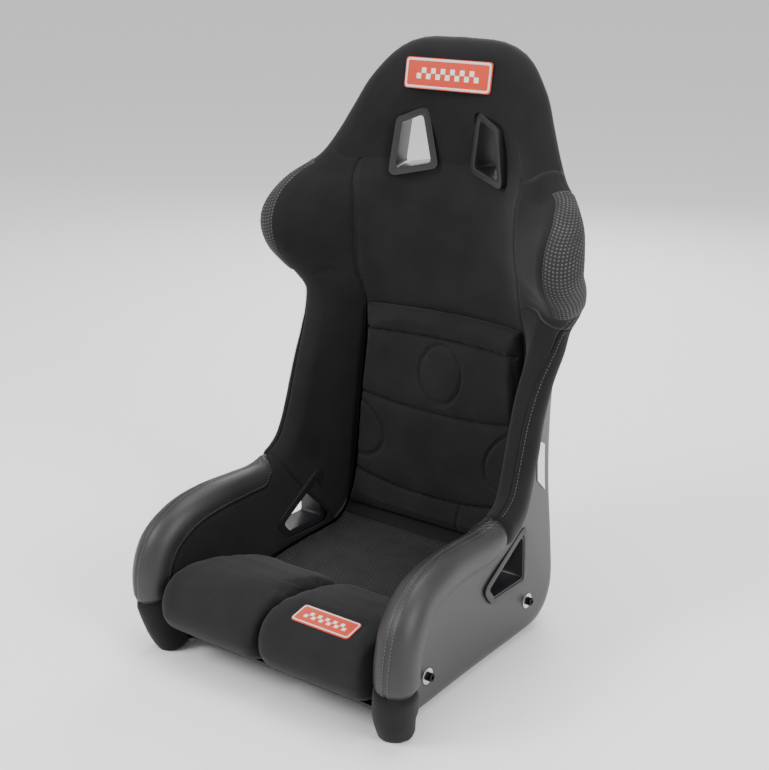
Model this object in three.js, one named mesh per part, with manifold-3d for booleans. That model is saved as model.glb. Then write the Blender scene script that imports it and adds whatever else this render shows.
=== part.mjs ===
// A fixed-back racing seat: a moulded composite shell, foam pads glued to it, loose cushions,
// window bezels and side-mount fasteners. Millimetres, +Z up. The seat faces -Y and +X is the
// occupant's left. The origin is on the floor under the middle of the seat.
import * as THREE from 'three';
import { mergeVertices } from 'three/addons/utils/BufferGeometryUtils.js';
import Module from 'manifold-3d';

const wasm = await Module();
wasm.setup();

// ---------------------------------------------------------------- driving dimensions
const shellThickness = 4.5;
const gap = 0.4; // air left between touching pieces

const wallReach = 60; // how far the shell's corner rounding runs into each wall
const coverWrap = 44; // how far the covers wrap down the outside of the shell
const frontWrap = 66; // the same on the front feet
const mountSpacing = 290; // between the two side-mount bolts
const frontBolt = { y: -100, z: 100 };
const rearBolt = { y: frontBolt.y + mountSpacing, z: 100 };
const floorZ = 34.1; // the underside of the shell in the frame the stations are drawn in
const middleY = 62.4; // the middle of the seat's depth in that frame

// Stations run along the shell's free edge, from the front foot over the thigh, hip, torso and
// shoulder to the top of the head. Each one gives, for the left half of the seat:
// edge the centre of the padded roll round the edge, roll its radius, outer its outer share;
// corner where the wall pad meets the cushions; shell the sharp corner the shell's rounded
// corner is drawn from; spine and face the shell's mid-surface and the pad's surface on the
// centreline (y, z); flat how far the floor or back runs straight before the corner.
const stations = [
  { edge: [221, -166, 45], roll: 29, outer: 1, corner: [186, -110, 62],
    shell: [219, -146, 37], spine: [-163, 60], face: [-163, 76], flat: 0.8 },
  { edge: [227, -178, 78], roll: 32, outer: 1, corner: [184, -80, 88],
    shell: [219.5, -115, 36.5], spine: [-135, 57], face: [-132, 96], flat: 0.7 },
  { edge: [236, -187, 125], roll: 32, outer: 1, corner: [183, -50, 104],
    shell: [219.5, -85, 36.5], spine: [-100, 53], face: [-98, 106], flat: 0.6 },
  { edge: [238, -187, 168], roll: 32, outer: 1, corner: [182, -20, 114],
    shell: [219.5, -52, 36.5], spine: [-65, 49], face: [-62, 113], flat: 0.5 },
  { edge: [236, -170, 209], roll: 32, outer: 1, corner: [181, 10, 120],
    shell: [219.5, -18, 36.5], spine: [-28, 46], face: [-26, 119], flat: 0.45 },
  { edge: [231, -130, 239], roll: 31, outer: 0.95, corner: [180, 45, 125],
    shell: [219.5, 20, 36.5], spine: [10, 43], face: [10, 124], flat: 0.45 },
  { edge: [227, -74, 250], roll: 30, outer: 0.9, corner: [180, 85, 128],
    shell: [219.5, 65, 36.5], spine: [55, 41], face: [50, 128], flat: 0.45 },
  { edge: [224, -14, 251], roll: 28, outer: 0.85, corner: [179, 125, 130],
    shell: [219.5, 115, 36.5], spine: [105, 40], face: [100, 130], flat: 0.45 },
  { edge: [223, 46, 251], roll: 27, outer: 0.85, corner: [178, 168, 131],
    shell: [219.5, 175, 36.5], spine: [168, 40], face: [155, 132], flat: 0.45 },
  { edge: [225, 98, 264], roll: 27, outer: 0.85, corner: [174, 206, 138],
    shell: [219.5, 244, 42], spine: [238, 48], face: [212, 134], flat: 0.45 },
  { edge: [225, 130, 285], roll: 27, outer: 0.85, corner: [170, 236, 172],
    shell: [219, 280, 84], spine: [280, 84], face: [250, 158], flat: 0.45 },
  { edge: [223, 148, 315], roll: 27, outer: 0.85, corner: [167, 252, 248],
    shell: [214, 285, 165], spine: [294, 165], face: [268, 215], flat: 0.45 },
  { edge: [221, 165, 362], roll: 27, outer: 0.9, corner: [166, 262, 330],
    shell: [205, 287, 265], spine: [302, 265], face: [280, 300], flat: 0.45 },
  { edge: [220, 181, 412], roll: 27, outer: 0.9, corner: [164, 268, 395],
    shell: [200, 293, 365], spine: [310, 365], face: [288, 380], flat: 0.45 },
  { edge: [220, 204, 464], roll: 27, outer: 0.9, corner: [161, 272, 455],
    shell: [200, 299, 450], spine: [316, 440], face: [294, 450], flat: 0.45 },
  { edge: [223, 227, 513], roll: 28, outer: 0.95, corner: [158, 268, 512],
    shell: [203, 304, 512], spine: [320, 505], face: [298, 510], flat: 0.45 },
  { edge: [228, 233, 553], roll: 29, outer: 1, corner: [156, 257, 548],
    shell: [204, 300, 553], spine: [323, 550], face: [300, 552], flat: 0.45 },
  { edge: [245, 225, 589], roll: 33, outer: 1, corner: [158, 244, 582],
    shell: [206, 296, 588], spine: [325, 586], face: [301, 587], flat: 0.45 },
  { edge: [257, 205, 615], roll: 35, outer: 1, corner: [157, 239, 612],
    shell: [205, 292, 617], spine: [326, 614], face: [302, 614], flat: 0.45 },
  { edge: [263, 181, 645], roll: 36, outer: 1, corner: [154, 235, 643],
    shell: [203, 288, 645], spine: [327, 643], face: [303, 643], flat: 0.45 },
  { edge: [263, 181, 676], roll: 36, outer: 1, corner: [153, 233, 674],
    shell: [202, 287, 674], spine: [328, 672], face: [303, 672], flat: 0.45 },
  { edge: [251, 206, 709], roll: 32, outer: 1, corner: [154, 231, 706],
    shell: [200, 290, 707], spine: [328, 702], face: [303, 702], flat: 0.45 },
  { edge: [228, 234, 735], roll: 28, outer: 1, corner: [157, 231, 731],
    shell: [196, 296, 735], spine: [328, 730], face: [303, 730], flat: 0.45 },
  { edge: [206, 248, 760], roll: 26, outer: 1, corner: [158, 240, 757],
    shell: [188, 302, 762], spine: [328, 755], face: [302, 755], flat: 0.45 },
  { edge: [184, 264, 798], roll: 25, outer: 1, corner: [146, 257, 793],
    shell: [170, 312, 798], spine: [328, 786], face: [299, 786], flat: 0.45 },
  { edge: [163, 279, 840], roll: 25, outer: 1, corner: [126, 267, 828],
    shell: [148, 322, 836], spine: [328, 816], face: [295, 816], flat: 0.45 },
  { edge: [136, 296, 888], roll: 26, outer: 1, corner: [98, 270, 868],
    shell: [116, 331, 878], spine: [328, 850], face: [286, 850], flat: 0.45 },
  { edge: [84, 314, 928], roll: 31, outer: 1, corner: [58, 273, 902],
    shell: [68, 336, 915], spine: [328, 880], face: [279, 882], flat: 0.45 },
  { edge: [0, 315, 932], roll: 35, outer: 1, corner: [0, 276, 908],
    shell: [0, 337, 922], spine: [330, 894], face: [276, 892], flat: 0.45 },
];
const last = stations.length - 1;
// Where along the stations the covers change.
const footTop = 2, wearEnd = 8.8, torsoTop = 16.4, wingTop = 23.4, cushionBack = 9.35;
const lumbarFoot = 9.75, lumbarTop = 15.3;

// ---------------------------------------------------------------- curves
const V = (x = 0, y = 0, z = 0) => new THREE.Vector3(x, y, z);
const rail = (pick) => new THREE.CatmullRomCurve3(stations.map(pick), false, 'catmullrom', 0.5);
const edgeRail = rail((s) => V(...s.edge));
const cornerRail = rail((s) => V(...s.corner));
const shellRail = rail((s) => V(...s.shell));
const spineRail = rail((s) => V(0, ...s.spine));
const faceRail = rail((s) => V(0, ...s.face));
const rollRail = rail((s) => V(s.roll, s.outer, s.flat));
const on = (curve, s) => curve.getPoint(THREE.MathUtils.clamp(s / last, 0, 1));
const mix = (a, b, t) => a.clone().lerp(b, t);
const step = (from, direction, length) => from.clone().addScaledVector(direction, length);
const lerp = THREE.MathUtils.lerp;
const mapLinear = THREE.MathUtils.mapLinear;

// A clamped B-spline of degree 2 through its end points.
function bspline(points, t) {
  const spans = points.length - 2;
  const u = Math.min(Math.max(t, 0), 1) * spans;
  const k = Math.min(Math.floor(u), spans - 1);
  const f = u - k;
  const a = k === 0 ? points[0] : mix(points[k], points[k + 1], 0.5);
  const c = k === spans - 1 ? points[k + 2] : mix(points[k + 1], points[k + 2], 0.5);
  return mix(a, points[k + 1], f).lerp(mix(points[k + 1], c, f), f);
}

// The directions at a station: along the edge, into the wall, and out of the seat.
function axesAt(s) {
  const e = on(edgeRail, s);
  const along = on(edgeRail, Math.min(s + 0.05, last)).sub(on(edgeRail, Math.max(s - 0.05, 0)));
  along.normalize();
  const across = (to) => {
    const d = to.clone().sub(e);
    return d.addScaledVector(along, -d.dot(along)).normalize();
  };
  const k = on(cornerRail, s);
  const firstOut = new THREE.Vector3().crossVectors(across(k), along).normalize();
  const inward = across(step(k, firstOut, on(rollRail, s).x));
  const out = new THREE.Vector3().crossVectors(inward, along).normalize();
  return { along, inward, out };
}

// ---------------------------------------------------------------- surfaces
// The shell's mid-surface: t runs from the centreline (0) to the free edge (1).
function shellMid(s, t) {
  const spine = on(spineRail, s);
  const g = on(shellRail, s);
  const e = on(edgeRail, s);
  const { x: roll, z: flatShare } = on(rollRail, s);
  const rim = step(e, axesAt(s).inward, -0.4 * roll);
  const flat = V(g.x * flatShare, spine.y, spine.z);
  const before = step(g, flat.clone().sub(g).normalize(), Math.min(wallReach, 0.7 * g.distanceTo(flat)));
  const after = step(g, e.clone().sub(g).normalize(), Math.min(wallReach, 0.6 * g.distanceTo(e)));
  return bspline([spine, flat, before, g, after, mix(after, rim, 0.6), rim], t);
}
function shellNormal(s, t) {
  const d = 0.01;
  const a = shellMid(Math.max(s - d, 0), t);
  const b = shellMid(Math.min(s + d, last), t);
  const c = shellMid(s, Math.max(t - d, 0));
  const e = shellMid(s, Math.min(t + d, 1));
  return new THREE.Vector3().crossVectors(e.sub(c), b.sub(a)).normalize();
}
const shellAt = (s, t, depth) => step(shellMid(s, t), shellNormal(s, t), depth);

// The pads' visible surface. t runs from the centreline (0) to the corner (0.3), the roll's
// inner side (0.55), its crest (0.7), its outer side (0.85) and the end of the wrap (1).
const onCorner = 0.3, onInner = 0.55, onCrest = 0.7, onOuter = 0.85;
// How far the covers reach down the outside, and where that is on the shell.
const wrapLength = (s) => lerp(frontWrap, coverWrap, THREE.MathUtils.smoothstep(s, 3.5, 5.5));
function wrapEnd(s) {
  const e = on(edgeRail, s);
  let near = 1, far = 0.42;
  for (let k = 0; k < 14; k++) {
    const t = (near + far) / 2;
    if (shellMid(s, t).distanceTo(e) > wrapLength(s)) far = t;
    else near = t;
  }
  return near;
}
function padAt(s, t, raise = 0) {
  const { inward, out } = axesAt(s);
  const e = on(edgeRail, s);
  const k = on(cornerRail, s);
  const { x: roll, y: outerShare } = on(rollRail, s);
  const inner = step(e, out, -roll - raise);
  if (t <= onCorner) {
    const c = on(faceRail, s);
    return bspline([c, V(k.x * 0.6, c.y, c.z), k], t / onCorner);
  }
  if (t <= onInner) {
    return bspline([k, step(inner, inward, roll * 0.8), inner], (t - onCorner) / (onInner - onCorner));
  }
  if (t <= onOuter) {
    const angle = Math.PI * ((t - onInner) / (onOuter - onInner));
    const r = roll * lerp(1, outerShare, 0.5 - 0.5 * Math.cos(angle)) + raise;
    return step(step(e, out, -r * Math.cos(angle)), inward, -(roll + raise) * Math.sin(angle));
  }
  const outerSide = step(e, out, roll * outerShare + raise);
  const end = shellAt(s, wrapEnd(s), -(shellThickness / 2 + gap + 2 + raise));
  return bspline([outerSide, step(outerSide, inward, roll * 0.9), end], (t - onOuter) / (1 - onOuter));
}
function padNormal(s, t) {
  const d = 0.004;
  const a = padAt(Math.max(s - d * 5, 0), t);
  const b = padAt(Math.min(s + d * 5, last), t);
  const c = padAt(s, Math.max(t - d, 0));
  const e = padAt(s, Math.min(t + d, 1));
  return new THREE.Vector3().crossVectors(e.sub(c), b.sub(a)).normalize();
}

// ---------------------------------------------------------------- solids
// A closed solid between two grids of points, rows by columns.
function slab(rows, columns, front, back) {
  const points = [];
  const index = (side, i, j) => side * rows * columns + i * columns + j;
  [front, back].forEach((surface) => {
    for (let i = 0; i < rows; i++) for (let j = 0; j < columns; j++) points.push(surface(i, j));
  });
  const faces = [];
  const quad = (a, b, c, d) => faces.push(a, b, c, a, c, d);
  for (let i = 0; i < rows - 1; i++) for (let j = 0; j < columns - 1; j++) {
    quad(index(0, i, j), index(0, i, j + 1), index(0, i + 1, j + 1), index(0, i + 1, j));
    quad(index(1, i, j), index(1, i + 1, j), index(1, i + 1, j + 1), index(1, i, j + 1));
  }
  for (let i = 0; i < rows - 1; i++) {
    quad(index(0, i, 0), index(0, i + 1, 0), index(1, i + 1, 0), index(1, i, 0));
    const j = columns - 1;
    quad(index(0, i, j), index(1, i, j), index(1, i + 1, j), index(0, i + 1, j));
  }
  for (let j = 0; j < columns - 1; j++) {
    quad(index(0, 0, j + 1), index(0, 0, j), index(1, 0, j), index(1, 0, j + 1));
    const i = rows - 1;
    quad(index(0, i, j + 1), index(1, i, j + 1), index(1, i, j), index(0, i, j));
  }
  return solidFrom(points, faces);
}

// A closed solid through a row of closed rings, capped at both ends.
function loft(rings) {
  const n = rings[0].length;
  const points = rings.flat();
  const faces = [];
  for (let i = 0; i < rings.length - 1; i++) for (let j = 0; j < n; j++) {
    const k = (j + 1) % n;
    faces.push(i * n + j, i * n + k, (i + 1) * n + k, i * n + j, (i + 1) * n + k, (i + 1) * n + j);
  }
  [0, rings.length - 1].forEach((i) => {
    const middle = rings[i].reduce((sum, p) => sum.add(p), V(0, 0, 0)).divideScalar(n);
    points.push(middle);
    for (let j = 0; j < n; j++) {
      const pair = [i * n + j, i * n + ((j + 1) % n)];
      if (i > 0) pair.reverse();
      faces.push(points.length - 1, pair[1], pair[0]);
    }
  });
  return solidFrom(points, faces);
}

// Turns points and faces into a manifold solid with its faces outwards.
function solidFrom(points, faces) {
  const geometry = new THREE.BufferGeometry().setFromPoints(points);
  geometry.setIndex(faces);
  return toSolid(geometry);
}
function toSolid(geometry, weld = true) {
  const bare = new THREE.BufferGeometry().setAttribute('position', geometry.attributes.position);
  if (geometry.index) bare.setIndex(geometry.index);
  const merged = weld ? mergeVertices(bare, 1e-3) : bare;
  const position = merged.attributes.position.array;
  const index = merged.index.array;
  const kept = [];
  let volume = 0;
  const at = (i) => V(position[3 * i], position[3 * i + 1], position[3 * i + 2]);
  for (let i = 0; i < index.length; i += 3) {
    const [a, b, c] = [index[i], index[i + 1], index[i + 2]];
    if (a === b || b === c || a === c) continue;
    kept.push(a, b, c);
    volume += at(a).dot(at(b).cross(at(c)));
  }
  if (volume < 0) kept.reverse();
  return new wasm.Manifold(new wasm.Mesh({
    numProp: 3, vertProperties: new Float32Array(position), triVerts: new Uint32Array(kept) }));
}
const mirrorX = new THREE.Matrix4().makeScale(-1, 1, 1);
const mirrored = (solid) => toSolid(geometryOf(solid).applyMatrix4(mirrorX), false);
function geometryOf(solid) {
  const mesh = solid.getMesh();
  const geometry = new THREE.BufferGeometry();
  geometry.setAttribute('position', new THREE.BufferAttribute(new Float32Array(mesh.vertProperties), 3));
  geometry.setIndex(new THREE.BufferAttribute(new Uint32Array(mesh.triVerts), 1));
  return geometry;
}
const add = (...solids) => solids.reduce((sum, solid) => sum.add(solid));
const without = (solid, ...cuts) => cuts.reduce((rest, cut) => rest.subtract(cut), solid);
const bothSides = (solid) => add(solid, mirrored(solid));

// Rows and columns fall on shared values of s and t, so that neighbours' facets line up.
const rowGrid = Array.from({ length: last + 1 }, (_, i) => i);
const columnGrid = [0, 0.1, 0.2, 0.3, 0.38, 0.46, 0.5, 0.56, 0.61, 0.655, 0.7, 0.745, 0.79, 0.85, 0.92, 1];
function between(grid, from, to) {
  const near = 0.01;
  return [from, ...grid.filter((value) => value > from + near && value < to - near), to];
}

// ---------------------------------------------------------------- shell
const shellColumns = [0, 0.3, 0.42, 0.5, 0.58, 0.72, 1];
function shellSheet(grow) {
  const half = shellThickness / 2 + grow;
  const rows = rowGrid;
  const place = (depth) => (i, j) => {
    const p = shellAt(rows[i], shellColumns[j], depth);
    if (grow && j === shellColumns.length - 1) p.addScaledVector(axesAt(rows[i]).inward, -grow);
    if (grow && i === 0) p.y -= grow;
    if (j === 0 || i === rows.length - 1) p.x = 0;
    return p;
  };
  const side = slab(rows.length, shellColumns.length, place(half), place(-half));
  return add(side, mirrored(side));
}
const fatShell = shellSheet(gap);

// ---------------------------------------------------------------- glued pads
// Under a pad the solid reaches into the shell's own thickness, and the shell is cut away after.
function underAt(s, t) {
  const inside = 2;
  if (t <= onCorner) return shellAt(s, (t / onCorner) * 0.62, inside);
  if (t <= onInner) return shellAt(s, mapLinear(t, onCorner, onInner, 0.62, 0.95), inside);
  if (t <= onOuter) {
    const f = (t - onInner) / (onOuter - onInner);
    return shellAt(s, 0.95 + 0.045 * Math.sin(Math.PI * f), lerp(inside, -inside, f));
  }
  return shellAt(s, mapLinear(t, onOuter, 1, 0.95, wrapEnd(s)), -inside);
}
// Half a pad over the stations s0..s1 and the shares t0..t1, with its face raised by lift.
const seamS = 0.008, seamT = 0.0015; // half the open seam between two neighbouring pads
function pad(s0, s1, t0, t1, lift = 0) {
  const rows = between(rowGrid, s0, s1);
  const columns = between(columnGrid, t0, t1);
  const place = (surface) => (i, j) => {
    const [s, t] = [rows[i], columns[j]];
    const p = surface(s, t);
    if (lift && surface === padAt) p.addScaledVector(padNormal(s, t), lift);
    if (t === 0 || s === last) p.x = 0;
    return p;
  };
  return slab(rows.length, columns.length, place(padAt), place(underAt));
}
const even = (n) => Array.from({ length: n + 1 }, (_, i) => i / n);
const onWear = 0.5; // where the wear cover starts on the inner wall

// ---------------------------------------------------------------- flat outlines and prisms
// A local frame at a point: u and v span a plane, and its normal is u x v.
function frameAt(origin, u, v) {
  const w = new THREE.Vector3().crossVectors(u, v);
  return new THREE.Matrix4().makeBasis(u, v, w).setPosition(origin);
}
// Moves each side of a closed outline outwards by d. The outline runs anticlockwise.
function grown(outline, d) {
  const n = outline.length;
  return outline.map((p, i) => {
    const a = outline[(i + n - 1) % n];
    const c = outline[(i + 1) % n];
    const normal = (from, to) => new THREE.Vector2(to.y - from.y, from.x - to.x).normalize();
    const n1 = normal(a, p);
    const n2 = normal(p, c);
    return p.clone().addScaledVector(n1.clone().add(n2), d / (1 + n1.dot(n2)));
  });
}
// Rounds an outline's corners.
function rounded(outline, radius, pieces = 4) {
  const n = outline.length;
  return outline.flatMap((p, i) => {
    const a = outline[(i + n - 1) % n];
    const c = outline[(i + 1) % n];
    const toA = a.clone().sub(p).normalize();
    const toC = c.clone().sub(p).normalize();
    const halfAngle = Math.acos(THREE.MathUtils.clamp(toA.dot(toC), -1, 1)) / 2;
    const cut = Math.min(radius / Math.tan(halfAngle), a.distanceTo(p) * 0.48, c.distanceTo(p) * 0.48);
    const from = p.clone().addScaledVector(toA, cut);
    const to = p.clone().addScaledVector(toC, cut);
    return Array.from({ length: pieces + 1 }, (_, k) => {
      const f = k / pieces;
      return from.clone().multiplyScalar((1 - f) ** 2).addScaledVector(p, 2 * f * (1 - f))
        .addScaledVector(to, f * f);
    });
  });
}
function prism(outline, low, high, matrix) {
  const geometry = new THREE.ExtrudeGeometry(new THREE.Shape(outline),
    { depth: high - low, bevelEnabled: false });
  geometry.translate(0, 0, low).applyMatrix4(matrix);
  return toSolid(geometry);
}
const disc = (radius, sides) => Array.from({ length: sides }, (_, i) => {
  const a = (2 * Math.PI * i) / sides;
  return new THREE.Vector2(radius * Math.cos(a), radius * Math.sin(a));
});
const P2 = (pairs) => pairs.map(([x, y]) => new THREE.Vector2(x, y));
function block(x0, y0, z0, x1, y1, z1) {
  const box = new THREE.BoxGeometry(x1 - x0, y1 - y0, z1 - z0);
  return toSolid(box.translate((x0 + x1) / 2, (y0 + y1) / 2, (z0 + z1) / 2));
}
// A cylinder along X from x0 to x1 at (y, z).
function barrel(radius, x0, x1, y, z, sides = 16) {
  return prism(disc(radius, sides), x0, x1, frameAt(V(0, y, z), V(0, 1, 0), V(0, 0, 1)));
}
// The largest of a solid's separate bodies: cuts along a curved face can leave slivers.
function largest(solid) {
  const geometry = geometryOf(solid);
  const index = geometry.index.array;
  const group = Array.from({ length: index.length / 3 }, (_, i) => i);
  const root = (i) => {
    let r = i;
    while (group[r] !== r) r = group[r];
    group[i] = r;
    return r;
  };
  const owners = new Map();
  group.forEach((_, face) => {
    for (let k = 0; k < 3; k++) {
      const [a, b] = [index[3 * face + k], index[3 * face + ((k + 1) % 3)]];
      const owner = owners.get(`${b},${a}`);
      if (owner === undefined) owners.set(`${a},${b}`, face);
      else group[root(face)] = root(owner);
    }
  });
  const bodies = {};
  group.forEach((_, face) => (bodies[root(face)] ??= []).push(...index.slice(3 * face, 3 * face + 3)));
  const biggest = Object.values(bodies).sort((p, q) => boundsOf(geometry, q) - boundsOf(geometry, p))[0];
  geometry.setIndex(biggest);
  return toSolid(geometry, false);
}
function boundsOf(geometry, indices) {
  const box = new THREE.Box3();
  indices.forEach((i) => box.expandByPoint(V().fromBufferAttribute(geometry.attributes.position, i)));
  return box.getSize(V()).length();
}

// ---------------------------------------------------------------- loose cushions
const cushionLift = 3.6; // hook-and-loop tape between a loose cushion and its pad
// A leg cushion's side outline (y, z), from its rear edge over the top and round the front.
const legOutline = [[4, 136], [-4, 142], [-30, 154], [-75, 169], [-120, 179], [-160, 182], [-192, 177],
  [-213, 163], [-224, 140], [-224, 115], [-214, 96], [-196, 84], [-180, 80], [-166, 84], [-150, 92],
  [-130, 101], [-98, 110.5], [-60, 117.5], [-26, 123], [2, 127.5]];
const legInner = 3.5; // half the gap between the two leg cushions
function legCushion() {
  const middle = [-120, 140];
  const widthAt = (y) => mapLinear(THREE.MathUtils.smoothstep(-y, 40, 200), 0, 1, 175, 195);
  const shares = [[0, 13], [0.012, 7], [0.04, 2.5], [0.1, 0], [0.9, 0], [0.96, 2.5], [0.988, 7], [1, 13]];
  const rings = shares.map(([share, inset]) => legOutline.map(([y, z]) => {
    const d = new THREE.Vector2(middle[0] - y, middle[1] - z);
    d.normalize().multiplyScalar(inset);
    return V(lerp(legInner, widthAt(y), share), y + d.x, z + d.y * 0.8);
  }));
  return loft(rings);
}
// The lumbar cushion: four quilted bands, thick in the middle and low at the edges.
const bandSeams = [10.8, 12.6, 14.45];
const lumbarRows = [lumbarFoot, 9.9, 10.3, 10.68, 10.8, 10.92, 11.6, 12.46, 12.6, 12.74, 13.5, 14.3,
  14.45, 14.6, 14.9, 15.18, lumbarTop];
const lumbarColumns = [0, 0.14, 0.26, 0.28, 0.287];
const lumbarEdge = 7, lumbarDeep = 23, seamDepth = 6;
function lumbarThickness(s, t) {
  const fromEnd = Math.min(s - lumbarFoot, lumbarTop - s) / 0.2;
  const fromSide = (lumbarColumns[lumbarColumns.length - 1] - t) / 0.027;
  const inside = Math.min(1, Math.min(fromEnd, fromSide));
  const nearSeam = Math.min(...bandSeams.map((seam) => Math.abs(s - seam))) / 0.1;
  const seam = seamDepth * Math.max(0, 1 - nearSeam);
  return lumbarEdge + (lumbarDeep - lumbarEdge) * Math.sqrt(1 - (1 - inside) ** 2) - seam * Math.max(0, inside);
}
function lumbarCushion() {
  const place = (front) => (i, j) => {
    const [s, t] = [lumbarRows[i], lumbarColumns[j]];
    const p = step(padAt(s, t), padNormal(s, t), cushionLift + (front ? lumbarThickness(s, t) : 0));
    if (j === 0) p.x = 0;
    return p;
  };
  const side = slab(lumbarRows.length, lumbarColumns.length, place(true), place(false));
  return bothSides(side);
}

// ---------------------------------------------------------------- windows and their bezels
// The harness window: seen from the front, u runs outwards and v up.
const harnessYaw = THREE.MathUtils.degToRad(20.4);
const harnessFrame = frameAt(V(72.3, 282, 799.5), V(Math.cos(harnessYaw), -Math.sin(harnessYaw), 0), V(0, 0, 1));
const harnessBezel = P2([[-44, -40.5], [42.5, -58.5], [27, 38.5], [-26, 60.5]]);
const harnessRim = 11, harnessRadius = 12;
// The lap-belt window on the side wall: u runs rearwards and v up.
const lapFrame = frameAt(V(0, 0, 0), V(0, 1, 0), V(0, 0, 1));
const lapHole = P2([[83, 152], [167, 151], [164, 225], [69, 169]]);
const lapRim = 12.5, lapRadius = 15;
const sleeve = 3; // wall of the bezel's tunnel
const ring = (outline, hole, low, high, frame) => (
  prism(outline, low, high, frame).subtract(prism(hole, low - 1, high + 1, frame)));

const harness = {
  flange: rounded(harnessBezel, harnessRadius),
  hole: rounded(grown(harnessBezel, -harnessRim), 6),
  tunnel: rounded(grown(harnessBezel, sleeve - harnessRim), 8),
  around: rounded(grown(harnessBezel, gap), harnessRadius),
  aroundTunnel: rounded(grown(harnessBezel, sleeve - harnessRim + gap), 8),
};
const lap = {
  flange: rounded(grown(lapHole, lapRim), lapRadius),
  hole: rounded(lapHole, 6),
  tunnel: rounded(grown(lapHole, sleeve), 8),
  around: rounded(grown(lapHole, lapRim + gap), lapRadius),
  aroundTunnel: rounded(grown(lapHole, sleeve + gap), 8),
};
const harnessFront = 4, harnessBed = -9; // the front flange's faces along the window's normal
const harnessDeep = -75; // where the tunnel is cut off behind the shell
const harnessRearY = 335; // rear face of the rear bezel
const lapInner = { front: 184, bed: 195 }; // x of the inner flange's faces
const lapOuterX = 228.5; // x of the outer bezel's face
const reach = 600; // half the width of the block that cuts behind the shell

const behindShell = (y) => block(-reach, y, 0, reach, y + reach, 2 * reach);
const harnessFrontBezel = add(
  ring(harness.flange, harness.hole, harnessBed, harnessFront, harnessFrame),
  ring(harness.tunnel, harness.hole, harnessDeep, harnessBed + 1, harnessFrame),
).subtract(behindShell(harnessRearY - 1));
const harnessRearBezel = largest(
  ring(harness.flange, harness.aroundTunnel, harnessDeep, -30, harnessFrame)
    .subtract(behindShell(harnessRearY)).subtract(fatShell)
    .intersect(behindShell(harnessRearY - 8)));
const lapInnerBezel = add(
  ring(lap.flange, lap.hole, lapInner.front, lapInner.bed, lapFrame),
  ring(lap.tunnel, lap.hole, lapInner.bed - 1, lapOuterX - 1, lapFrame));
const lapOuterBezel = largest(ring(lap.flange, lap.aroundTunnel, 219, lapOuterX, lapFrame).subtract(fatShell));

// What the windows take out of the shell and the pads.
const harnessHole = prism(harness.aroundTunnel, harnessDeep - 20, 40, harnessFrame);
const harnessBedding = prism(harness.around, harnessBed - gap, 60, harnessFrame);
const lapHoleCut = prism(lap.aroundTunnel, 120, 260, lapFrame);
const lapBedding = prism(lap.around, 120, lapInner.bed + gap, lapFrame);
const lapOuterRoom = prism(lap.around, 212, 260, lapFrame);

// ---------------------------------------------------------------- side-mount fasteners
const bossRadius = 17, washerRadius = 12.5, washerThickness = 2, headRadius = 6.5, headLength = 8;
const shankRadius = 3.85, threadRadius = 4.1, insertFlange = 15, insertBarrel = 6.6, insertLength = 15;
const socketRadius = 3.1, socketDepth = 4.5;
const washerSeat = 1; // depth of the round seat the washer sits in, so a bracket bears on the ring round it
const bareShell = shellSheet(0);
// The x of the shell's outermost and innermost faces under a bolt's washer.
function wallAt({ y, z }) {
  const core = barrel(washerRadius + 0.5, 150, 280, y, z).intersect(bareShell);
  const box = new THREE.Box3().setFromBufferAttribute(geometryOf(core).attributes.position);
  return { outside: box.max.x, inside: box.min.x };
}
function fastenerAt(bolt) {
  const { y, z } = bolt;
  const { outside, inside } = wallAt(bolt);
  const face = outside + 0.2; // the moulded boss's flat face
  const washerIn = face - washerSeat + 0.1;
  const headIn = washerIn + washerThickness + 0.1;
  const seat = inside - 0.2; // the insert's flange bears here
  const hexagon = disc(socketRadius, 6);
  const headFrame = frameAt(V(0, y, z), V(0, 1, 0), V(0, 0, 1));
  return {
    face,
    boss: barrel(bossRadius, (inside + outside) / 2, face, y, z),
    bore: add(barrel(insertBarrel + gap, 150, 280, y, z),
      barrel(washerRadius + gap, face - washerSeat, 280, y, z)),
    pocket: barrel(insertFlange + gap, seat - insertLength - gap, 280, y, z),
    washer: barrel(washerRadius, washerIn, washerIn + washerThickness, y, z)
      .subtract(barrel(shankRadius + gap, 150, 280, y, z)),
    bolt: add(barrel(headRadius, headIn, headIn + headLength, y, z),
      barrel(shankRadius, seat - 12, headIn + 1, y, z))
      .subtract(prism(hexagon, headIn + headLength - socketDepth, 280, headFrame)),
    insert: add(barrel(insertFlange, seat - 2.5, seat, y, z),
      barrel(insertBarrel, seat - insertLength, face - washerSeat - 0.3, y, z))
      .subtract(barrel(threadRadius, 150, 280, y, z)),
  };
}
const fasteners = { front: fastenerAt(frontBolt), rear: fastenerAt(rearBolt) };
const eachFastener = Object.values(fasteners);

// ---------------------------------------------------------------- badges and label
function plate(centre, u, v, halfWidth, halfHeight, low, high, grow = 0) {
  const [w, h] = [halfWidth + grow, halfHeight + grow];
  return prism(rounded(P2([[-w, -h], [w, -h], [w, h], [-w, h]]), 6 + grow), low, high, frameAt(centre, u, v));
}
const badgeSunk = 0.8, badgeProud = 1.7; // the patch's back and front faces from the cover
const headBadgeTilt = THREE.MathUtils.degToRad(9.5);
const headBadge = (low, high, grow) => plate(V(0, 273.5, 911), V(1, 0, 0),
  V(0, Math.sin(headBadgeTilt), Math.cos(headBadgeTilt)), 81, 24.3, low, high, grow);
const legBadgeTilt = THREE.MathUtils.degToRad(11);
const legBadge = (low, high, grow) => plate(V(104, -176, 180.5), V(1, 0, 0),
  V(0, Math.cos(legBadgeTilt), Math.sin(legBadgeTilt)), 53, 19, low, high, grow);
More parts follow.
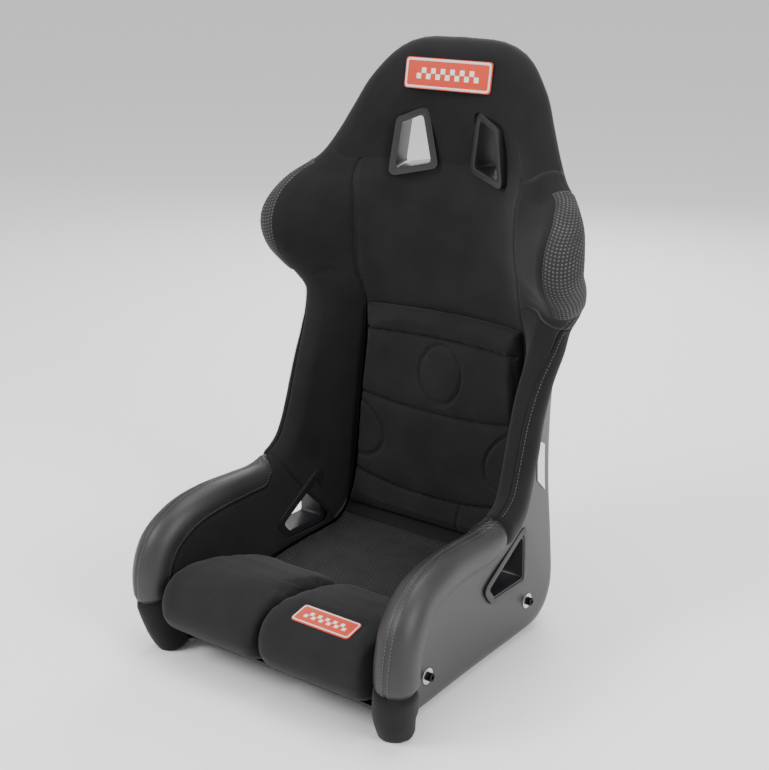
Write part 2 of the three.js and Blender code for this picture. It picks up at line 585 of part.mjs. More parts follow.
// A patch that follows the shell's outside: rows of s, columns of t.
function label() {
  const rows = even(6).map((f) => lerp(11.75, 12.6, f));
  const columns = even(3).map((f) => lerp(0.66, 0.78, f));
  const at = (depth) => (i, j) => shellAt(rows[i], columns[j], depth);
  return slab(rows.length, columns.length, at(-(shellThickness / 2 + 1)), at(-(shellThickness / 2 + 1.5)));
}

// ---------------------------------------------------------------- the assembly
const colours = {
  fabric: [0x242427, 0.95, 0], centre: [0x2d2d30, 0.95, 0], nonSlip: [0x303034, 0.9, 0],
  vinyl: [0x4a4a4c, 0.5, 0], shell: [0x4c4c4e, 0.42, 0], plastic: [0x2b2b2d, 0.45, 0],
  zinc: [0xc9ccd0, 0.3, 1], steel: [0x3a3a3c, 0.4, 1], badge: [0xd8452a, 0.7, 0],
  label: [0xe8e8e6, 0.6, 0],
};
const seat = new THREE.Group();
seat.name = 'racing_seat';
const toFloor = new THREE.Matrix4().makeTranslation(0, -middleY, -floorZ);
function place(name, solid, colour) {
  const geometry = geometryOf(solid).applyMatrix4(toFloor);
  geometry.computeVertexNormals();
  const [hex, roughness, metalness] = colours[colour];
  const mesh = new THREE.Mesh(geometry, new THREE.MeshStandardMaterial({ color: hex, roughness, metalness }));
  mesh.material.name = colour;
  mesh.name = name;
  seat.add(mesh);
}
function placePair(name, solid, colour) {
  place(`${name}_left`, solid, colour);
  place(`${name}_right`, mirrored(solid), colour);
}

const harnessCuts = bothSides(harnessHole);
const lapCuts = bothSides(lapHoleCut);
let shell = add(bareShell, ...eachFastener.map((f) => bothSides(f.boss)));
shell = without(shell, harnessCuts, lapCuts,
  ...eachFastener.map((f) => bothSides(f.bore)));
place('shell', largest(shell), 'shell');

const pockets = eachFastener.map((f) => f.pocket);
const beds = bothSides(harnessBedding);
const centrePad = (s0, s1, t1) => bothSides(pad(s0, s1, 0, t1));
const wallPad = add(pad(0, wearEnd, onCorner + seamT, onWear - seamT),
  pad(wearEnd, torsoTop - seamS, onCorner + seamT, onCrest - seamT));
const wallRoom = bothSides(add(wallPad, pad(0, wearEnd, onCorner - 5 * seamT, onWear)));
place('seat_base_pad', largest(without(centrePad(1, cushionBack - seamS, onCorner - 6 * seamT),
  fatShell, wallRoom, ...pockets.map(bothSides))), 'nonSlip');
place('back_pad', largest(without(centrePad(cushionBack + seamS, wingTop - seamS, onCorner - seamT),
  fatShell, harnessCuts, beds)), 'centre');
const shoulderPad = pad(torsoTop + seamS, wingTop - seamS, onCorner + seamT, 1);
const shoulderRoom = bothSides(add(shoulderPad, pad(wingTop - 1, wingTop + 2 * seamS, onCorner - seamT, 1)));
place('head_pad', largest(without(centrePad(wingTop + 3 * seamS, last, 1), fatShell, shoulderRoom,
  harnessCuts, beds, headBadge(-badgeSunk - gap, 40, gap))), 'fabric');
placePair('side_pad', largest(without(wallPad, fatShell, lapHoleCut, lapBedding, ...pockets)), 'fabric');
placePair('foot_cover', largest(without(pad(0, footTop - seamS, onWear + seamT, 1),
  fatShell, ...pockets)), 'fabric');
placePair('thigh_wear_cover', largest(without(pad(footTop + seamS, wearEnd - 2 * seamS, onWear + seamT, 1),
  fatShell, lapOuterRoom, ...pockets)), 'vinyl');
placePair('torso_edge_cover', largest(without(pad(wearEnd + 2 * seamS, torsoTop - seamS, onCrest + seamT, 1),
  fatShell, lapOuterRoom)), 'fabric');
placePair('shoulder_bolster', largest(without(shoulderPad, fatShell)), 'fabric');

place('lumbar_cushion', lumbarCushion(), 'centre');
place('leg_cushion_left', legCushion().subtract(legBadge(-badgeSunk - gap, 40, gap)), 'centre');
place('leg_cushion_right', mirrored(legCushion()), 'centre');
placePair('harness_bezel_front', harnessFrontBezel, 'plastic');
placePair('harness_bezel_rear', harnessRearBezel, 'plastic');
placePair('lap_bezel_inner', lapInnerBezel, 'plastic');
placePair('lap_bezel_outer', lapOuterBezel, 'plastic');
for (const [where, fastener] of Object.entries(fasteners)) {
  placePair(`mount_insert_${where}`, fastener.insert, 'steel');
  placePair(`mount_washer_${where}`, fastener.washer, 'zinc');
  placePair(`mount_bolt_${where}`, fastener.bolt, 'steel');
}
place('head_badge', headBadge(-badgeSunk, badgeProud), 'badge');
place('leg_badge', legBadge(-badgeSunk, badgeProud), 'badge');
place('shell_label', label(), 'label');

export default seat;
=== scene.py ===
import bpy
import bmesh
import math
import numpy as np
from mathutils import Matrix, Vector, kdtree, noise


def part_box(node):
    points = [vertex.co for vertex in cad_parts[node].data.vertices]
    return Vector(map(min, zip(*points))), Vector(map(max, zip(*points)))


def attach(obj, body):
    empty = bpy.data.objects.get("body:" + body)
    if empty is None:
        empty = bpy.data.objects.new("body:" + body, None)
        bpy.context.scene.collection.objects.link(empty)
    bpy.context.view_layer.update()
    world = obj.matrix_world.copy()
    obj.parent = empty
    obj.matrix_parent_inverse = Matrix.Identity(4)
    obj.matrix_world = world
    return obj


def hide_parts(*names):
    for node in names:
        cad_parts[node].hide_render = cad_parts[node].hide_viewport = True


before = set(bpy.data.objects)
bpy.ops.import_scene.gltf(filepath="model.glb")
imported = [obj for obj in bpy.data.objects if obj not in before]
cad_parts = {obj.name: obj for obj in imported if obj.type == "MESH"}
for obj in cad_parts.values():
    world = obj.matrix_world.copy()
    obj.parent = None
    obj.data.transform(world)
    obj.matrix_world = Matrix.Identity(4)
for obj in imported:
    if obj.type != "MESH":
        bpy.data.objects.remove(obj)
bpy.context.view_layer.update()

# camera, lights and floor
studio = {
    "cameraPlace": (1.271, -1.6744, 1.1359), "cameraTurn": (71.26, 0, 36.49), "lens": 66.8,
    "floorSize": 80, "floorColour": "#FCFCFC", "worldColour": "#FFFFFF", "worldStrength": 0.8,
}


def toLinear(hexColour):
    parts = [int(hexColour[i:i + 2], 16) / 255 for i in (1, 3, 5)]
    return tuple(c / 12.92 if c <= 0.04045 else ((c + 0.055) / 1.055) ** 2.4 for c in parts) + (1.0,)


def addNode(tree, kind, links=None, **settings):
    # adds a node; a key of links is an input's name or number, its value an output socket or a constant
    node = tree.nodes.new(kind)
    for key, value in settings.items():
        setattr(node, key, value)
    for key, value in (links or {}).items():
        if isinstance(value, bpy.types.NodeSocket):
            tree.links.new(value, node.inputs[key])
        else:
            node.inputs[key].default_value = value
    return node


scene = bpy.context.scene
camera = bpy.data.objects.new("camera", bpy.data.cameras.new("camera"))
camera.location = studio["cameraPlace"]
camera.rotation_euler = [math.radians(a) for a in studio["cameraTurn"]]
camera.data.lens = studio["lens"]
camera.data.sensor_width = 36
scene.collection.objects.link(camera)
scene.camera = camera

world = bpy.data.worlds.new("softStudio")
world.use_nodes = True
world.node_tree.nodes["Background"].inputs["Color"].default_value = toLinear(studio["worldColour"])
world.node_tree.nodes["Background"].inputs["Strength"].default_value = studio["worldStrength"]
scene.world = world


def softLight(name, place, aim, size, power):
    data = bpy.data.lights.new(name, "AREA")
    data.energy = power
    data.shape = "DISK"
    data.size = size
    lamp = bpy.data.objects.new(name, data)
    lamp.location = place
    lamp.rotation_euler = (Vector(aim) - Vector(place)).to_track_quat("-Z", "Y").to_euler()
    scene.collection.objects.link(lamp)


softLight("keyLight", (-1.6, -2.6, 2.9), (0, 0, 0.45), 1.6, 95)
softLight("sideLight", (2.8, -0.6, 1.9), (0, 0, 0.45), 1.4, 60)
softLight("topLight", (0.2, 0.4, 3.2), (0, 0, 0.4), 1.8, 50)
softLight("backLight", (-1.2, 2.6, 1.8), (0, 0, 0.5), 1.6, 45)

floorMesh = bpy.data.meshes.new("floor")
bm = bmesh.new()
bmesh.ops.create_grid(bm, x_segments=1, y_segments=1, size=studio["floorSize"])
bm.to_mesh(floorMesh)
bm.free()
floor = bpy.data.objects.new("floor", floorMesh)
scene.collection.objects.link(floor)
floorPaint = bpy.data.materials.new("paleFloor")
floorPaint.use_nodes = True
floorShader = floorPaint.node_tree.nodes["Principled BSDF"]
floorShader.inputs["Base Color"].default_value = toLinear(studio["floorColour"])
floorShader.inputs["Roughness"].default_value = 0.9
floorMesh.materials.append(floorPaint)

# materials
print("materials")
bandPeriod = 0.314159  # of a wave texture whose scale is 1, in metres


def newMaterial(name):
    material = bpy.data.materials.new(name)
    material.use_nodes = True
    tree = material.node_tree
    return material, tree, tree.nodes["Principled BSDF"]


def paint(tree, shader, factor, low, high, lowAt=0.3, highAt=0.7):
    # a ramp from one colour to another drives the base colour
    ramp = addNode(tree, "ShaderNodeValToRGB", {"Fac": factor})
    ramp.color_ramp.elements[0].position = lowAt
    ramp.color_ramp.elements[1].position = highAt
    ramp.color_ramp.elements[0].color = toLinear(low)
    ramp.color_ramp.elements[1].color = toLinear(high)
    tree.links.new(ramp.outputs["Color"], shader.inputs["Base Color"])


def roughen(tree, shader, factor, low, high):
    spread = addNode(tree, "ShaderNodeMapRange", {"Value": factor, "To Min": low, "To Max": high})
    tree.links.new(spread.outputs["Result"], shader.inputs["Roughness"])


def raiseBump(tree, shader, height, distance, strength):
    bump = addNode(tree, "ShaderNodeBump", {"Height": height, "Distance": distance, "Strength": strength})
    tree.links.new(bump.outputs["Normal"], shader.inputs["Normal"])


def placeOf(tree, coordinate="Object"):
    return addNode(tree, "ShaderNodeTexCoord").outputs[coordinate]


def noiseOf(tree, place, scale, detail):
    cloud = addNode(tree, "ShaderNodeTexNoise", {"Vector": place, "Scale": scale, "Detail": detail})
    return cloud.outputs["Fac"]


def bandsOf(tree, place, pitch, direction, distortion=0.0):
    # raised bands, their pitch in metres
    return addNode(tree, "ShaderNodeTexWave", {"Vector": place, "Scale": bandPeriod / pitch,
                                               "Distortion": distortion},
                   wave_type="BANDS", bands_direction=direction).outputs["Fac"]


def combine(tree, operation, first, second):
    return addNode(tree, "ShaderNodeMath", {0: first, 1: second}, operation=operation).outputs[0]


def sheenOf(shader, weight, tint):
    shader.inputs["Sheen Weight"].default_value = weight
    shader.inputs["Sheen Tint"].default_value = toLinear(tint)


def velourMaterial(name, low, high, sheen):
    # velour: a brushed pile over foam; soft dark colour with patches of painted sheen, a pale sheen at
    # grazing angles, no gloss
    material, tree, shader = newMaterial(name)
    place = placeOf(tree)
    pile = noiseOf(tree, place, 900.0, 2.0)  # 1.1 mm tufts
    pileMarksAndSheen = noiseOf(tree, place, 16.0, 3.0)  # 60 mm patches of pressed pile: they vary the roughness, and in the colour they are painted sheen
    half = combine(tree, "MULTIPLY", combine(tree, "ADD", pile, pileMarksAndSheen), 0.5)
    # the colour mixes the tuft grain with the painted sheen of the 60 mm pile patches
    paint(tree, shader, half, low, high, 0.36, 0.64)
    roughen(tree, shader, pileMarksAndSheen, 0.84, 0.97)
    shader.inputs["Specular IOR Level"].default_value = 0.25
    shader.inputs["Sheen Roughness"].default_value = 0.45
    sheenOf(shader, sheen, "#8C8C8E")
    raiseBump(tree, shader, pile, 0.0006, 0.5)
    return material


def ribbedMaterial(name, low, high, pitch, sheen, coordinate="Object"):
    # non-slip textile: fine raised ribs with a small bead of grip on each
    material, tree, shader = newMaterial(name)
    place = placeOf(tree, coordinate)
    ribs = bandsOf(tree, place, pitch, "X")
    beads = bandsOf(tree, place, pitch, "Y")
    dots = combine(tree, "MULTIPLY", ribs, beads)
    worn = combine(tree, "MULTIPLY", dots, noiseOf(tree, place, 30.0, 3.0))
    paint(tree, shader, worn, low, high, 0.12, 0.5)
    roughen(tree, shader, dots, 0.85, 0.6)
    sheenOf(shader, sheen, "#808082")
    raiseBump(tree, shader, dots, 0.0007, 0.7)
    return material


def leatheretteMaterial():
    # PVC leatherette: an embossed grain of small pebbles, a satin film that catches the light on ridges
    material, tree, shader = newMaterial("blackLeatherette")
    place = placeOf(tree)
    pebbles = addNode(tree, "ShaderNodeTexVoronoi", {"Vector": place, "Scale": 620.0},  # 1.6 mm
                      feature="SMOOTH_F1")
    worn = noiseOf(tree, place, 14.0, 4.0)
    paint(tree, shader, worn, "#1D1D1E", "#262627")
    roughen(tree, shader, worn, 0.42, 0.55)
    shader.inputs["Specular IOR Level"].default_value = 0.5
    shader.inputs["IOR"].default_value = 1.52
    raiseBump(tree, shader, pebbles.outputs["Distance"], 0.0004, 0.55)
    return material


def compositeMaterial():
    # glass-fibre composite with a dark gel coat from a satin mould: faint orange peel, even grey
    material, tree, shader = newMaterial("gelCoatComposite")
    place = placeOf(tree)
    peel = noiseOf(tree, place, 240.0, 2.0)  # 4 mm orange peel
    cloud = noiseOf(tree, place, 7.0, 4.0)
    paint(tree, shader, cloud, "#232324", "#2A2A2B")
    roughen(tree, shader, cloud, 0.34, 0.46)
    shader.inputs["IOR"].default_value = 1.52
    raiseBump(tree, shader, peel, 0.0003, 0.25)
    return material


def plasticMaterial():
    # injection-moulded ABS with a fine spark-eroded texture
    material, tree, shader = newMaterial("mouldedAbs")
    grain = noiseOf(tree, placeOf(tree), 1400.0, 1.0)  # 0.7 mm grit
    paint(tree, shader, grain, "#17171A", "#202023")
    roughen(tree, shader, grain, 0.36, 0.5)
    shader.inputs["IOR"].default_value = 1.5
    raiseBump(tree, shader, grain, 0.0002, 0.3)
    return material


def steelMaterial(name, low, high, rough):
    material, tree, shader = newMaterial(name)
    mottle = noiseOf(tree, placeOf(tree), 300.0, 3.0)  # 3 mm plating mottle
    paint(tree, shader, mottle, low, high)
    roughen(tree, shader, mottle, rough - 0.06, rough + 0.08)
    shader.inputs["Metallic"].default_value = 1.0
    return material


def wovenMaterial(name, low, high, pitch):
    # woven badge cloth or sewing thread: a twill of fine diagonal threads
    material, tree, shader = newMaterial(name)
    twill = bandsOf(tree, placeOf(tree), pitch, "DIAGONAL", 0.4)
    paint(tree, shader, twill, low, high, 0.2, 0.8)
    shader.inputs["Roughness"].default_value = 0.75
    shader.inputs["Sheen Weight"].default_value = 0.2
    raiseBump(tree, shader, twill, 0.0003, 0.5)
    return material


velour = velourMaterial("blackVelour", "#0E0E0E", "#1A1A1B", 0.3)
centreCloth = velourMaterial("brushedKnit", "#131314", "#202021", 0.3)
baseCloth = ribbedMaterial("ribbedNonSlip", "#101011", "#333334", 0.0056, 0.1)
gripCloth = ribbedMaterial("beadedNonSlip", "#161617", "#4A4A4B", 0.0056, 0.1, "UV")
leatherette = leatheretteMaterial()
composite = compositeMaterial()
mouldedPlastic = plasticMaterial()
blackSteel = steelMaterial("blackOxideSteel", "#1D1D1F", "#2A2A2C", 0.42)
zincSteel = steelMaterial("zincPlatedSteel", "#B9BDC2", "#D6D9DC", 0.3)
redTwill = wovenMaterial("redTwill", "#B62A12", "#D9401F", 0.0012)
paleTwill = wovenMaterial("paleTwill", "#D8D4CC", "#F1EEE8", 0.0012)
thread = wovenMaterial("polyesterThread", "#3E3E3F", "#5A5A5B", 0.0012)
labelStock = wovenMaterial("labelStock", "#DEDEDB", "#EDEDEA", 0.004)

# the seat's lines
# Stations run along the free edge of the shell from the front foot to the top of the head. Each row:
# edge of the padded roll, its radius, how far it bulges outwards as a share of that radius, corner of the
# wall pad, shell corner, spine (y, z), pad face on the centreline (y, z), straight share of the floor or
# back. Millimetres.
stations = [
    ((221, -166, 45), 29, 1, (186, -110, 62), (219, -146, 37), (-163, 60), (-163, 76), 0.8),
    ((227, -178, 78), 32, 1, (184, -80, 88), (219.5, -115, 36.5), (-135, 57), (-132, 96), 0.7),
    ((236, -187, 125), 32, 1, (183, -50, 104), (219.5, -85, 36.5), (-100, 53), (-98, 106), 0.6),
    ((238, -187, 168), 32, 1, (182, -20, 114), (219.5, -52, 36.5), (-65, 49), (-62, 113), 0.5),
    ((236, -170, 209), 32, 1, (181, 10, 120), (219.5, -18, 36.5), (-28, 46), (-26, 119), 0.45),
    ((231, -130, 239), 31, 0.95, (180, 45, 125), (219.5, 20, 36.5), (10, 43), (10, 124), 0.45),
    ((227, -74, 250), 30, 0.9, (180, 85, 128), (219.5, 65, 36.5), (55, 41), (50, 128), 0.45),
    ((224, -14, 251), 28, 0.85, (179, 125, 130), (219.5, 115, 36.5), (105, 40), (100, 130), 0.45),
    ((223, 46, 251), 27, 0.85, (178, 168, 131), (219.5, 175, 36.5), (168, 40), (155, 132), 0.45),
    ((225, 98, 264), 27, 0.85, (174, 206, 138), (219.5, 244, 42), (238, 48), (212, 134), 0.45),
    ((225, 130, 285), 27, 0.85, (170, 236, 172), (219, 280, 84), (280, 84), (250, 158), 0.45),
    ((223, 148, 315), 27, 0.85, (167, 252, 248), (214, 285, 165), (294, 165), (268, 215), 0.45),
    ((221, 165, 362), 27, 0.9, (166, 262, 330), (205, 287, 265), (302, 265), (280, 300), 0.45),
    ((220, 181, 412), 27, 0.9, (164, 268, 395), (200, 293, 365), (310, 365), (288, 380), 0.45),
    ((220, 204, 464), 27, 0.9, (161, 272, 455), (200, 299, 450), (316, 440), (294, 450), 0.45),
    ((223, 227, 513), 28, 0.95, (158, 268, 512), (203, 304, 512), (320, 505), (298, 510), 0.45),
    ((228, 233, 553), 29, 1, (156, 257, 548), (204, 300, 553), (323, 550), (300, 552), 0.45),
    ((245, 225, 589), 33, 1, (158, 244, 582), (206, 296, 588), (325, 586), (301, 587), 0.45),
    ((257, 205, 615), 35, 1, (157, 239, 612), (205, 292, 617), (326, 614), (302, 614), 0.45),
    ((263, 181, 645), 36, 1, (154, 235, 643), (203, 288, 645), (327, 643), (303, 643), 0.45),
    ((263, 181, 676), 36, 1, (153, 233, 674), (202, 287, 674), (328, 672), (303, 672), 0.45),
    ((251, 206, 709), 32, 1, (154, 231, 706), (200, 290, 707), (328, 702), (303, 702), 0.45),
    ((228, 234, 735), 28, 1, (157, 231, 731), (196, 296, 735), (328, 730), (303, 730), 0.45),
    ((206, 248, 760), 26, 1, (158, 240, 757), (188, 302, 762), (328, 755), (302, 755), 0.45),
    ((184, 264, 798), 25, 1, (146, 257, 793), (170, 312, 798), (328, 786), (299, 786), 0.45),
    ((163, 279, 840), 25, 1, (126, 267, 828), (148, 322, 836), (328, 816), (295, 816), 0.45),
    ((136, 296, 888), 26, 1, (98, 270, 868), (116, 331, 878), (328, 850), (286, 850), 0.45),
    ((84, 314, 928), 31, 1, (58, 273, 902), (68, 336, 915), (328, 880), (279, 882), 0.45),
    ((0, 315, 932), 35, 1, (0, 276, 908), (0, 337, 922), (330, 894), (276, 892), 0.45),
]
lines = {
    "shell": 4.5, "gap": 0.4, "wallReach": 60, "coverWrap": 44, "frontWrap": 66, "middleY": 62.4,
    "floorZ": 34.1,
    "footTop": 2, "wearEnd": 8.8, "torsoTop": 16.4, "wingTop": 23.4, "cushionBack": 9.35, "onWear": 0.5,
}
last = len(stations) - 1
origin = Vector((0, lines["middleY"], lines["floorZ"]))  # of the row frame, among the stations
rails = {
    "edge": [Vector(s[0]) for s in stations],
    "roll": [Vector((s[1], s[2], s[7])) for s in stations],
    "corner": [Vector(s[3]) for s in stations],
    "shell": [Vector(s[4]) for s in stations],
    "spine": [Vector((0, *s[5])) for s in stations],
    "face": [Vector((0, *s[6])) for s in stations],
}
# shares of the way round a pad: corner of the wall, inner side, ridge and outer side of the roll
onCorner, onInner, onCrest, onOuter = 0.3, 0.55, 0.7, 0.85


def inRow(q, flip=1):
    # a point among the stations, in the row frame and in metres
    return flip * q[0] / 1000, (q[1] - lines["middleY"]) / 1000, (q[2] - lines["floorZ"]) / 1000


def along(name, s):
    # a smooth curve through one rail of the stations
    points = rails[name]
    s = min(max(s, 0), last)
    k = min(int(s), last - 1)
    f = s - k
    p1, p2 = points[k], points[k + 1]
    p0 = points[k - 1] if k else 2 * p1 - p2
    p3 = points[k + 2] if k + 2 <= last else 2 * p2 - p1
    a, b = (p2 - p0) * 0.5, (p3 - p1) * 0.5
    return p1 + a * f + (3 * (p2 - p1) - 2 * a - b) * f * f + (2 * (p1 - p2) + a + b) * f ** 3


def smooth(points, t):
    # a smooth curve that starts and ends on its points and rounds the ones between
    spans = len(points) - 2
    u = min(max(t, 0), 1) * spans
    k = min(int(u), spans - 1)
    f = u - k
    a = points[0] if k == 0 else points[k].lerp(points[k + 1], 0.5)
    c = points[k + 2] if k == spans - 1 else points[k + 1].lerp(points[k + 2], 0.5)
    return a.lerp(points[k + 1], f).lerp(points[k + 1].lerp(c, f), f)


def smoothStep(x, low, high):
    f = min(max((x - low) / (high - low), 0), 1)
    return f * f * (3 - 2 * f)


sections = {}


def sectionAt(s):
    # everything about the seat's cross-section at one station
    key = round(s, 5)
    if key in sections:
        return sections[key]
    e = along("edge", s)
    tangent = (along("edge", min(s + 0.05, last)) - along("edge", max(s - 0.05, 0))).normalized()
    corner = along("corner", s)
    roll, share, flatShare = along("roll", s)

    def across(to):
        d = to - e
        return (d - tangent * d.dot(tangent)).normalized()

    firstOut = across(corner).cross(tangent).normalized()
    inward = across(corner + firstOut * roll)
    out = inward.cross(tangent).normalized()
    spine, g = along("spine", s), along("shell", s)
    rim = e - inward * 0.4 * roll
    flat = Vector((g.x * flatShare, spine.y, spine.z))
    before = g + (flat - g).normalized() * min(lines["wallReach"], 0.7 * (g - flat).length)
    after = g + (e - g).normalized() * min(lines["wallReach"], 0.6 * (g - e).length)
    hull = [spine, flat, before, g, after, after.lerp(rim, 0.6), rim]
    wrap = lines["frontWrap"] + (lines["coverWrap"] - lines["frontWrap"]) * smoothStep(s, 3.5, 5.5)
    near, far = 1.0, 0.42
    for _ in range(14):  # halves the interval until the cover's end is at its length
        t = (near + far) / 2
        if (smooth(hull, t) - e).length > wrap:
            far = t
        else:
            near = t
    sections[key] = {"e": e, "k": corner, "c": along("face", s), "roll": roll, "share": share,
                     "inward": inward, "out": out, "hull": hull, "wrapEnd": near}
    return sections[key]


def shellPoint(s, t, depth):
    # a point of the shell's middle surface, moved outwards by depth
    a = smooth(sectionAt(max(s - 0.01, 0))["hull"], t)
    b = smooth(sectionAt(min(s + 0.01, last))["hull"], t)
    hull = sectionAt(s)["hull"]
    c, e = smooth(hull, max(t - 0.01, 0)), smooth(hull, min(t + 0.01, 1))
    return smooth(hull, t) + (e - c).cross(b - a).normalized() * depth


def padPoint(s, t):
    # a point of the padding's face: the centreline at 0, round the roll, to the cover's end at 1
    q = sectionAt(s)
    roll, e, k = q["roll"], q["e"], q["k"]
    inner = e - q["out"] * roll
    if t <= onCorner:
        return smooth([q["c"], Vector((k.x * 0.6, q["c"].y, q["c"].z)), k], t / onCorner)
    if t <= onInner:
        return smooth([k, inner + q["inward"] * roll * 0.8, inner], (t - onCorner) / (onInner - onCorner))
    if t <= onOuter:
        angle = math.pi * (t - onInner) / (onOuter - onInner)
        r = roll * (1 + (q["share"] - 1) * (0.5 - 0.5 * math.cos(angle)))
        return e - q["out"] * r * math.cos(angle) - q["inward"] * roll * math.sin(angle)
    outer = e + q["out"] * roll * q["share"]
    if "end" not in q:
        q["end"] = shellPoint(s, q["wrapEnd"], -(lines["shell"] / 2 + lines["gap"] + 2))
    return smooth([outer, outer + q["inward"] * roll * 0.9, q["end"]], (t - onOuter) / (1 - onOuter))


def wearLine(s):
    # where the wear cover meets the cloth of the inner wall; it curves up to the ridge at its rear end
    return lines["onWear"] + (onCrest - lines["onWear"]) * smoothStep(s, 7.7, lines["wearEnd"]) ** 1.5


# building sheets of cover
def surfaceGrid(rows, columns, pointOf, spanS, spanT):
    # an array of points over s and t, its normals, and distances along and across in millimetres
    s0, s1 = spanS
    p = np.zeros((rows + 1, columns + 1, 3))
    st = np.zeros((rows + 1, columns + 1, 2))
    for i in range(rows + 1):
        s = s0 + (s1 - s0) * i / rows
        t0, t1 = [edge(s) if callable(edge) else edge for edge in spanT]
        for j in range(columns + 1):
            t = t0 + (t1 - t0) * j / columns
            p[i, j] = pointOf(s, t)
            st[i, j] = s, t
    n = np.cross(np.gradient(p, axis=1), np.gradient(p, axis=0))
    n /= np.maximum(np.linalg.norm(n, axis=2, keepdims=True), 1e-9)
    stepsAlong = np.linalg.norm(np.diff(p, axis=0), axis=2)
    stepsAcross = np.linalg.norm(np.diff(p, axis=1), axis=2)
    u = np.concatenate([np.zeros((1, columns + 1)), np.cumsum(stepsAlong, 0)])
    v = np.concatenate([np.zeros((rows + 1, 1)), np.cumsum(stepsAcross, 1)], 1)
    return p, n, st, u, v


def tucked(distance, radius, depth):
    # how far cover drops into a seam: a quarter round
    f = np.clip(distance / radius, 0, 1)
    return depth * (1 - np.sqrt(1 - (1 - f) ** 2))


def crumple(p, n, cell, height):
    # slow unevenness of hand-glued foam, the same on both sides of the centreline
    out = np.zeros(p.shape[:2])
    for i in range(p.shape[0]):
        for j in range(p.shape[1]):
            x, y, z = p[i, j]
            out[i, j] = noise.noise(Vector((math.sqrt(x * x + 400), y, z)) / cell)
    return p + n * (out * height)[..., None]


def toBmesh(p, u, v, joined=False):
    # turns an array of points into a bmesh sheet with its UVs in metres
    rows, columns = p.shape[0] - 1, p.shape[1] - 1
    bm = bmesh.new()
    bmesh.ops.create_grid(bm, x_segments=rows, y_segments=columns, size=0.5)
    uvs = bm.loops.layers.uv.new("cover")
    keys = {}
    for vert in bm.verts:
        i, j = round((vert.co.x + 0.5) * rows), round((vert.co.y + 0.5) * columns)
        keys[vert] = (i, j)
    for vert, (i, j) in keys.items():
        vert.co = inRow(p[i, j])
    for face in bm.faces:
        for loop in face.loops:
            i, j = keys[loop.vert]
            loop[uvs].uv = (u[i, j] / 1000, v[i, j] / 1000)
    if joined:
        bmesh.ops.mirror(bm, geom=bm.verts[:] + bm.edges[:] + bm.faces[:], axis="X", merge_dist=0.0003,
                         mirror_u=False)
    bmesh.ops.remove_doubles(bm, verts=bm.verts, dist=0.00005)
    # faces point the way the sheet's grid faces, judged at the middle of the grid
    bmesh.ops.recalc_face_normals(bm, faces=bm.faces)
    bm.normal_update()
    rows, columns = rows // 2, columns // 2
    a, b, c = p[rows, columns], p[rows, columns + 1], p[rows + 1, columns]
    middle = Vector(inRow(a))
    nearest = min(bm.verts, key=lambda vert: (vert.co - middle).length_squared)
    if nearest.normal.dot(Vector(np.cross(b - a, c - a))) < 0:
        bmesh.ops.reverse_faces(bm, faces=bm.faces)
    return bm


def finishPiece(bm, name, material, body, nodes=(), mirror=False, smoothAngle=None):
    # makes a visible piece of a bmesh, parents it to the empty of the body it rides on and hides the CAD
    # nodes it stands in for
    if mirror:
        bmesh.ops.scale(bm, vec=(-1, 1, 1), verts=bm.verts)
        bmesh.ops.reverse_faces(bm, faces=bm.faces)
    mesh = bpy.data.meshes.new(name)
    bm.to_mesh(mesh)
    bm.free()
    for poly in mesh.polygons:
        poly.use_smooth = True
    if smoothAngle:
        mesh.set_sharp_from_angle(angle=math.radians(smoothAngle))
    mesh.materials.append(material)
    piece = bpy.data.objects.new(name, mesh)
    scene.collection.objects.link(piece)
    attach(piece, body)
    if nodes:
        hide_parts(*nodes)
    return piece


def applyModifiers(piece):
    # turns the evaluated mesh into the piece's own mesh
    depsgraph = bpy.context.evaluated_depsgraph_get()
    mesh = bpy.data.meshes.new_from_object(piece.evaluated_get(depsgraph))
    piece.modifiers.clear()
    old = piece.data
    piece.data = mesh
    mesh.name = old.name
    bpy.data.meshes.remove(old)


def thicken(piece, thickness):
    # gives a sheet its wall on the inside
    change = piece.modifiers.new("wall", "SOLIDIFY")
    change.thickness = thickness
    change.offset = -1
    change.use_even_offset = False
    applyModifiers(piece)


# window cutters
print("window cutters")
sides = (("left", False), ("right", True))
windows = {
    "harness": {"corners": [(-44, -40.5), (42.5, -58.5), (27, 38.5), (-26, 60.5)], "rim": 11,
                "middle": (72.3, 282, 799.5), "yaw": 20.4, "hole": (-110, 60), "bed": -9},
    "lap": {"corners": [(83, 152), (167, 151), (164, 225), (69, 169)], "rim": 12.5,
            "hole": (120, 262), "bed": 195, "innerFrom": 150, "outerFrom": 214},
    "sleeve": 3, "clear": 0.6,
}


def roundedOutline(corners, radius, pieces=8):
    # rounds the corners of an outline
    out = []
    n = len(corners)
    for i in range(n):
        p, a, c = Vector(corners[i]), Vector(corners[i - 1]), Vector(corners[(i + 1) % n])
        toA, toC = (a - p).normalized(), (c - p).normalized()
        half = math.acos(max(-1, min(1, toA.dot(toC)))) / 2
        cut = min(radius / math.tan(half), (a - p).length * 0.48, (c - p).length * 0.48)
        start, end = p + toA * cut, p + toC * cut
        for k in range(pieces + 1):
            f = k / pieces
            out.append(start * (1 - f) ** 2 + p * 2 * f * (1 - f) + end * f * f)
    return out


def grownCorners(corners, d):
    # moves each side of an outline outwards by d
    out = []
    n = len(corners)
    for i in range(n):
        p, a, c = Vector(corners[i]), Vector(corners[i - 1]), Vector(corners[(i + 1) % n])
        n1 = Vector((p.y - a.y, a.x - p.x)).normalized()
        n2 = Vector((c.y - p.y, p.x - c.x)).normalized()
        out.append(p + (n1 + n2) * (d / (1 + n1.dot(n2))))
    return out


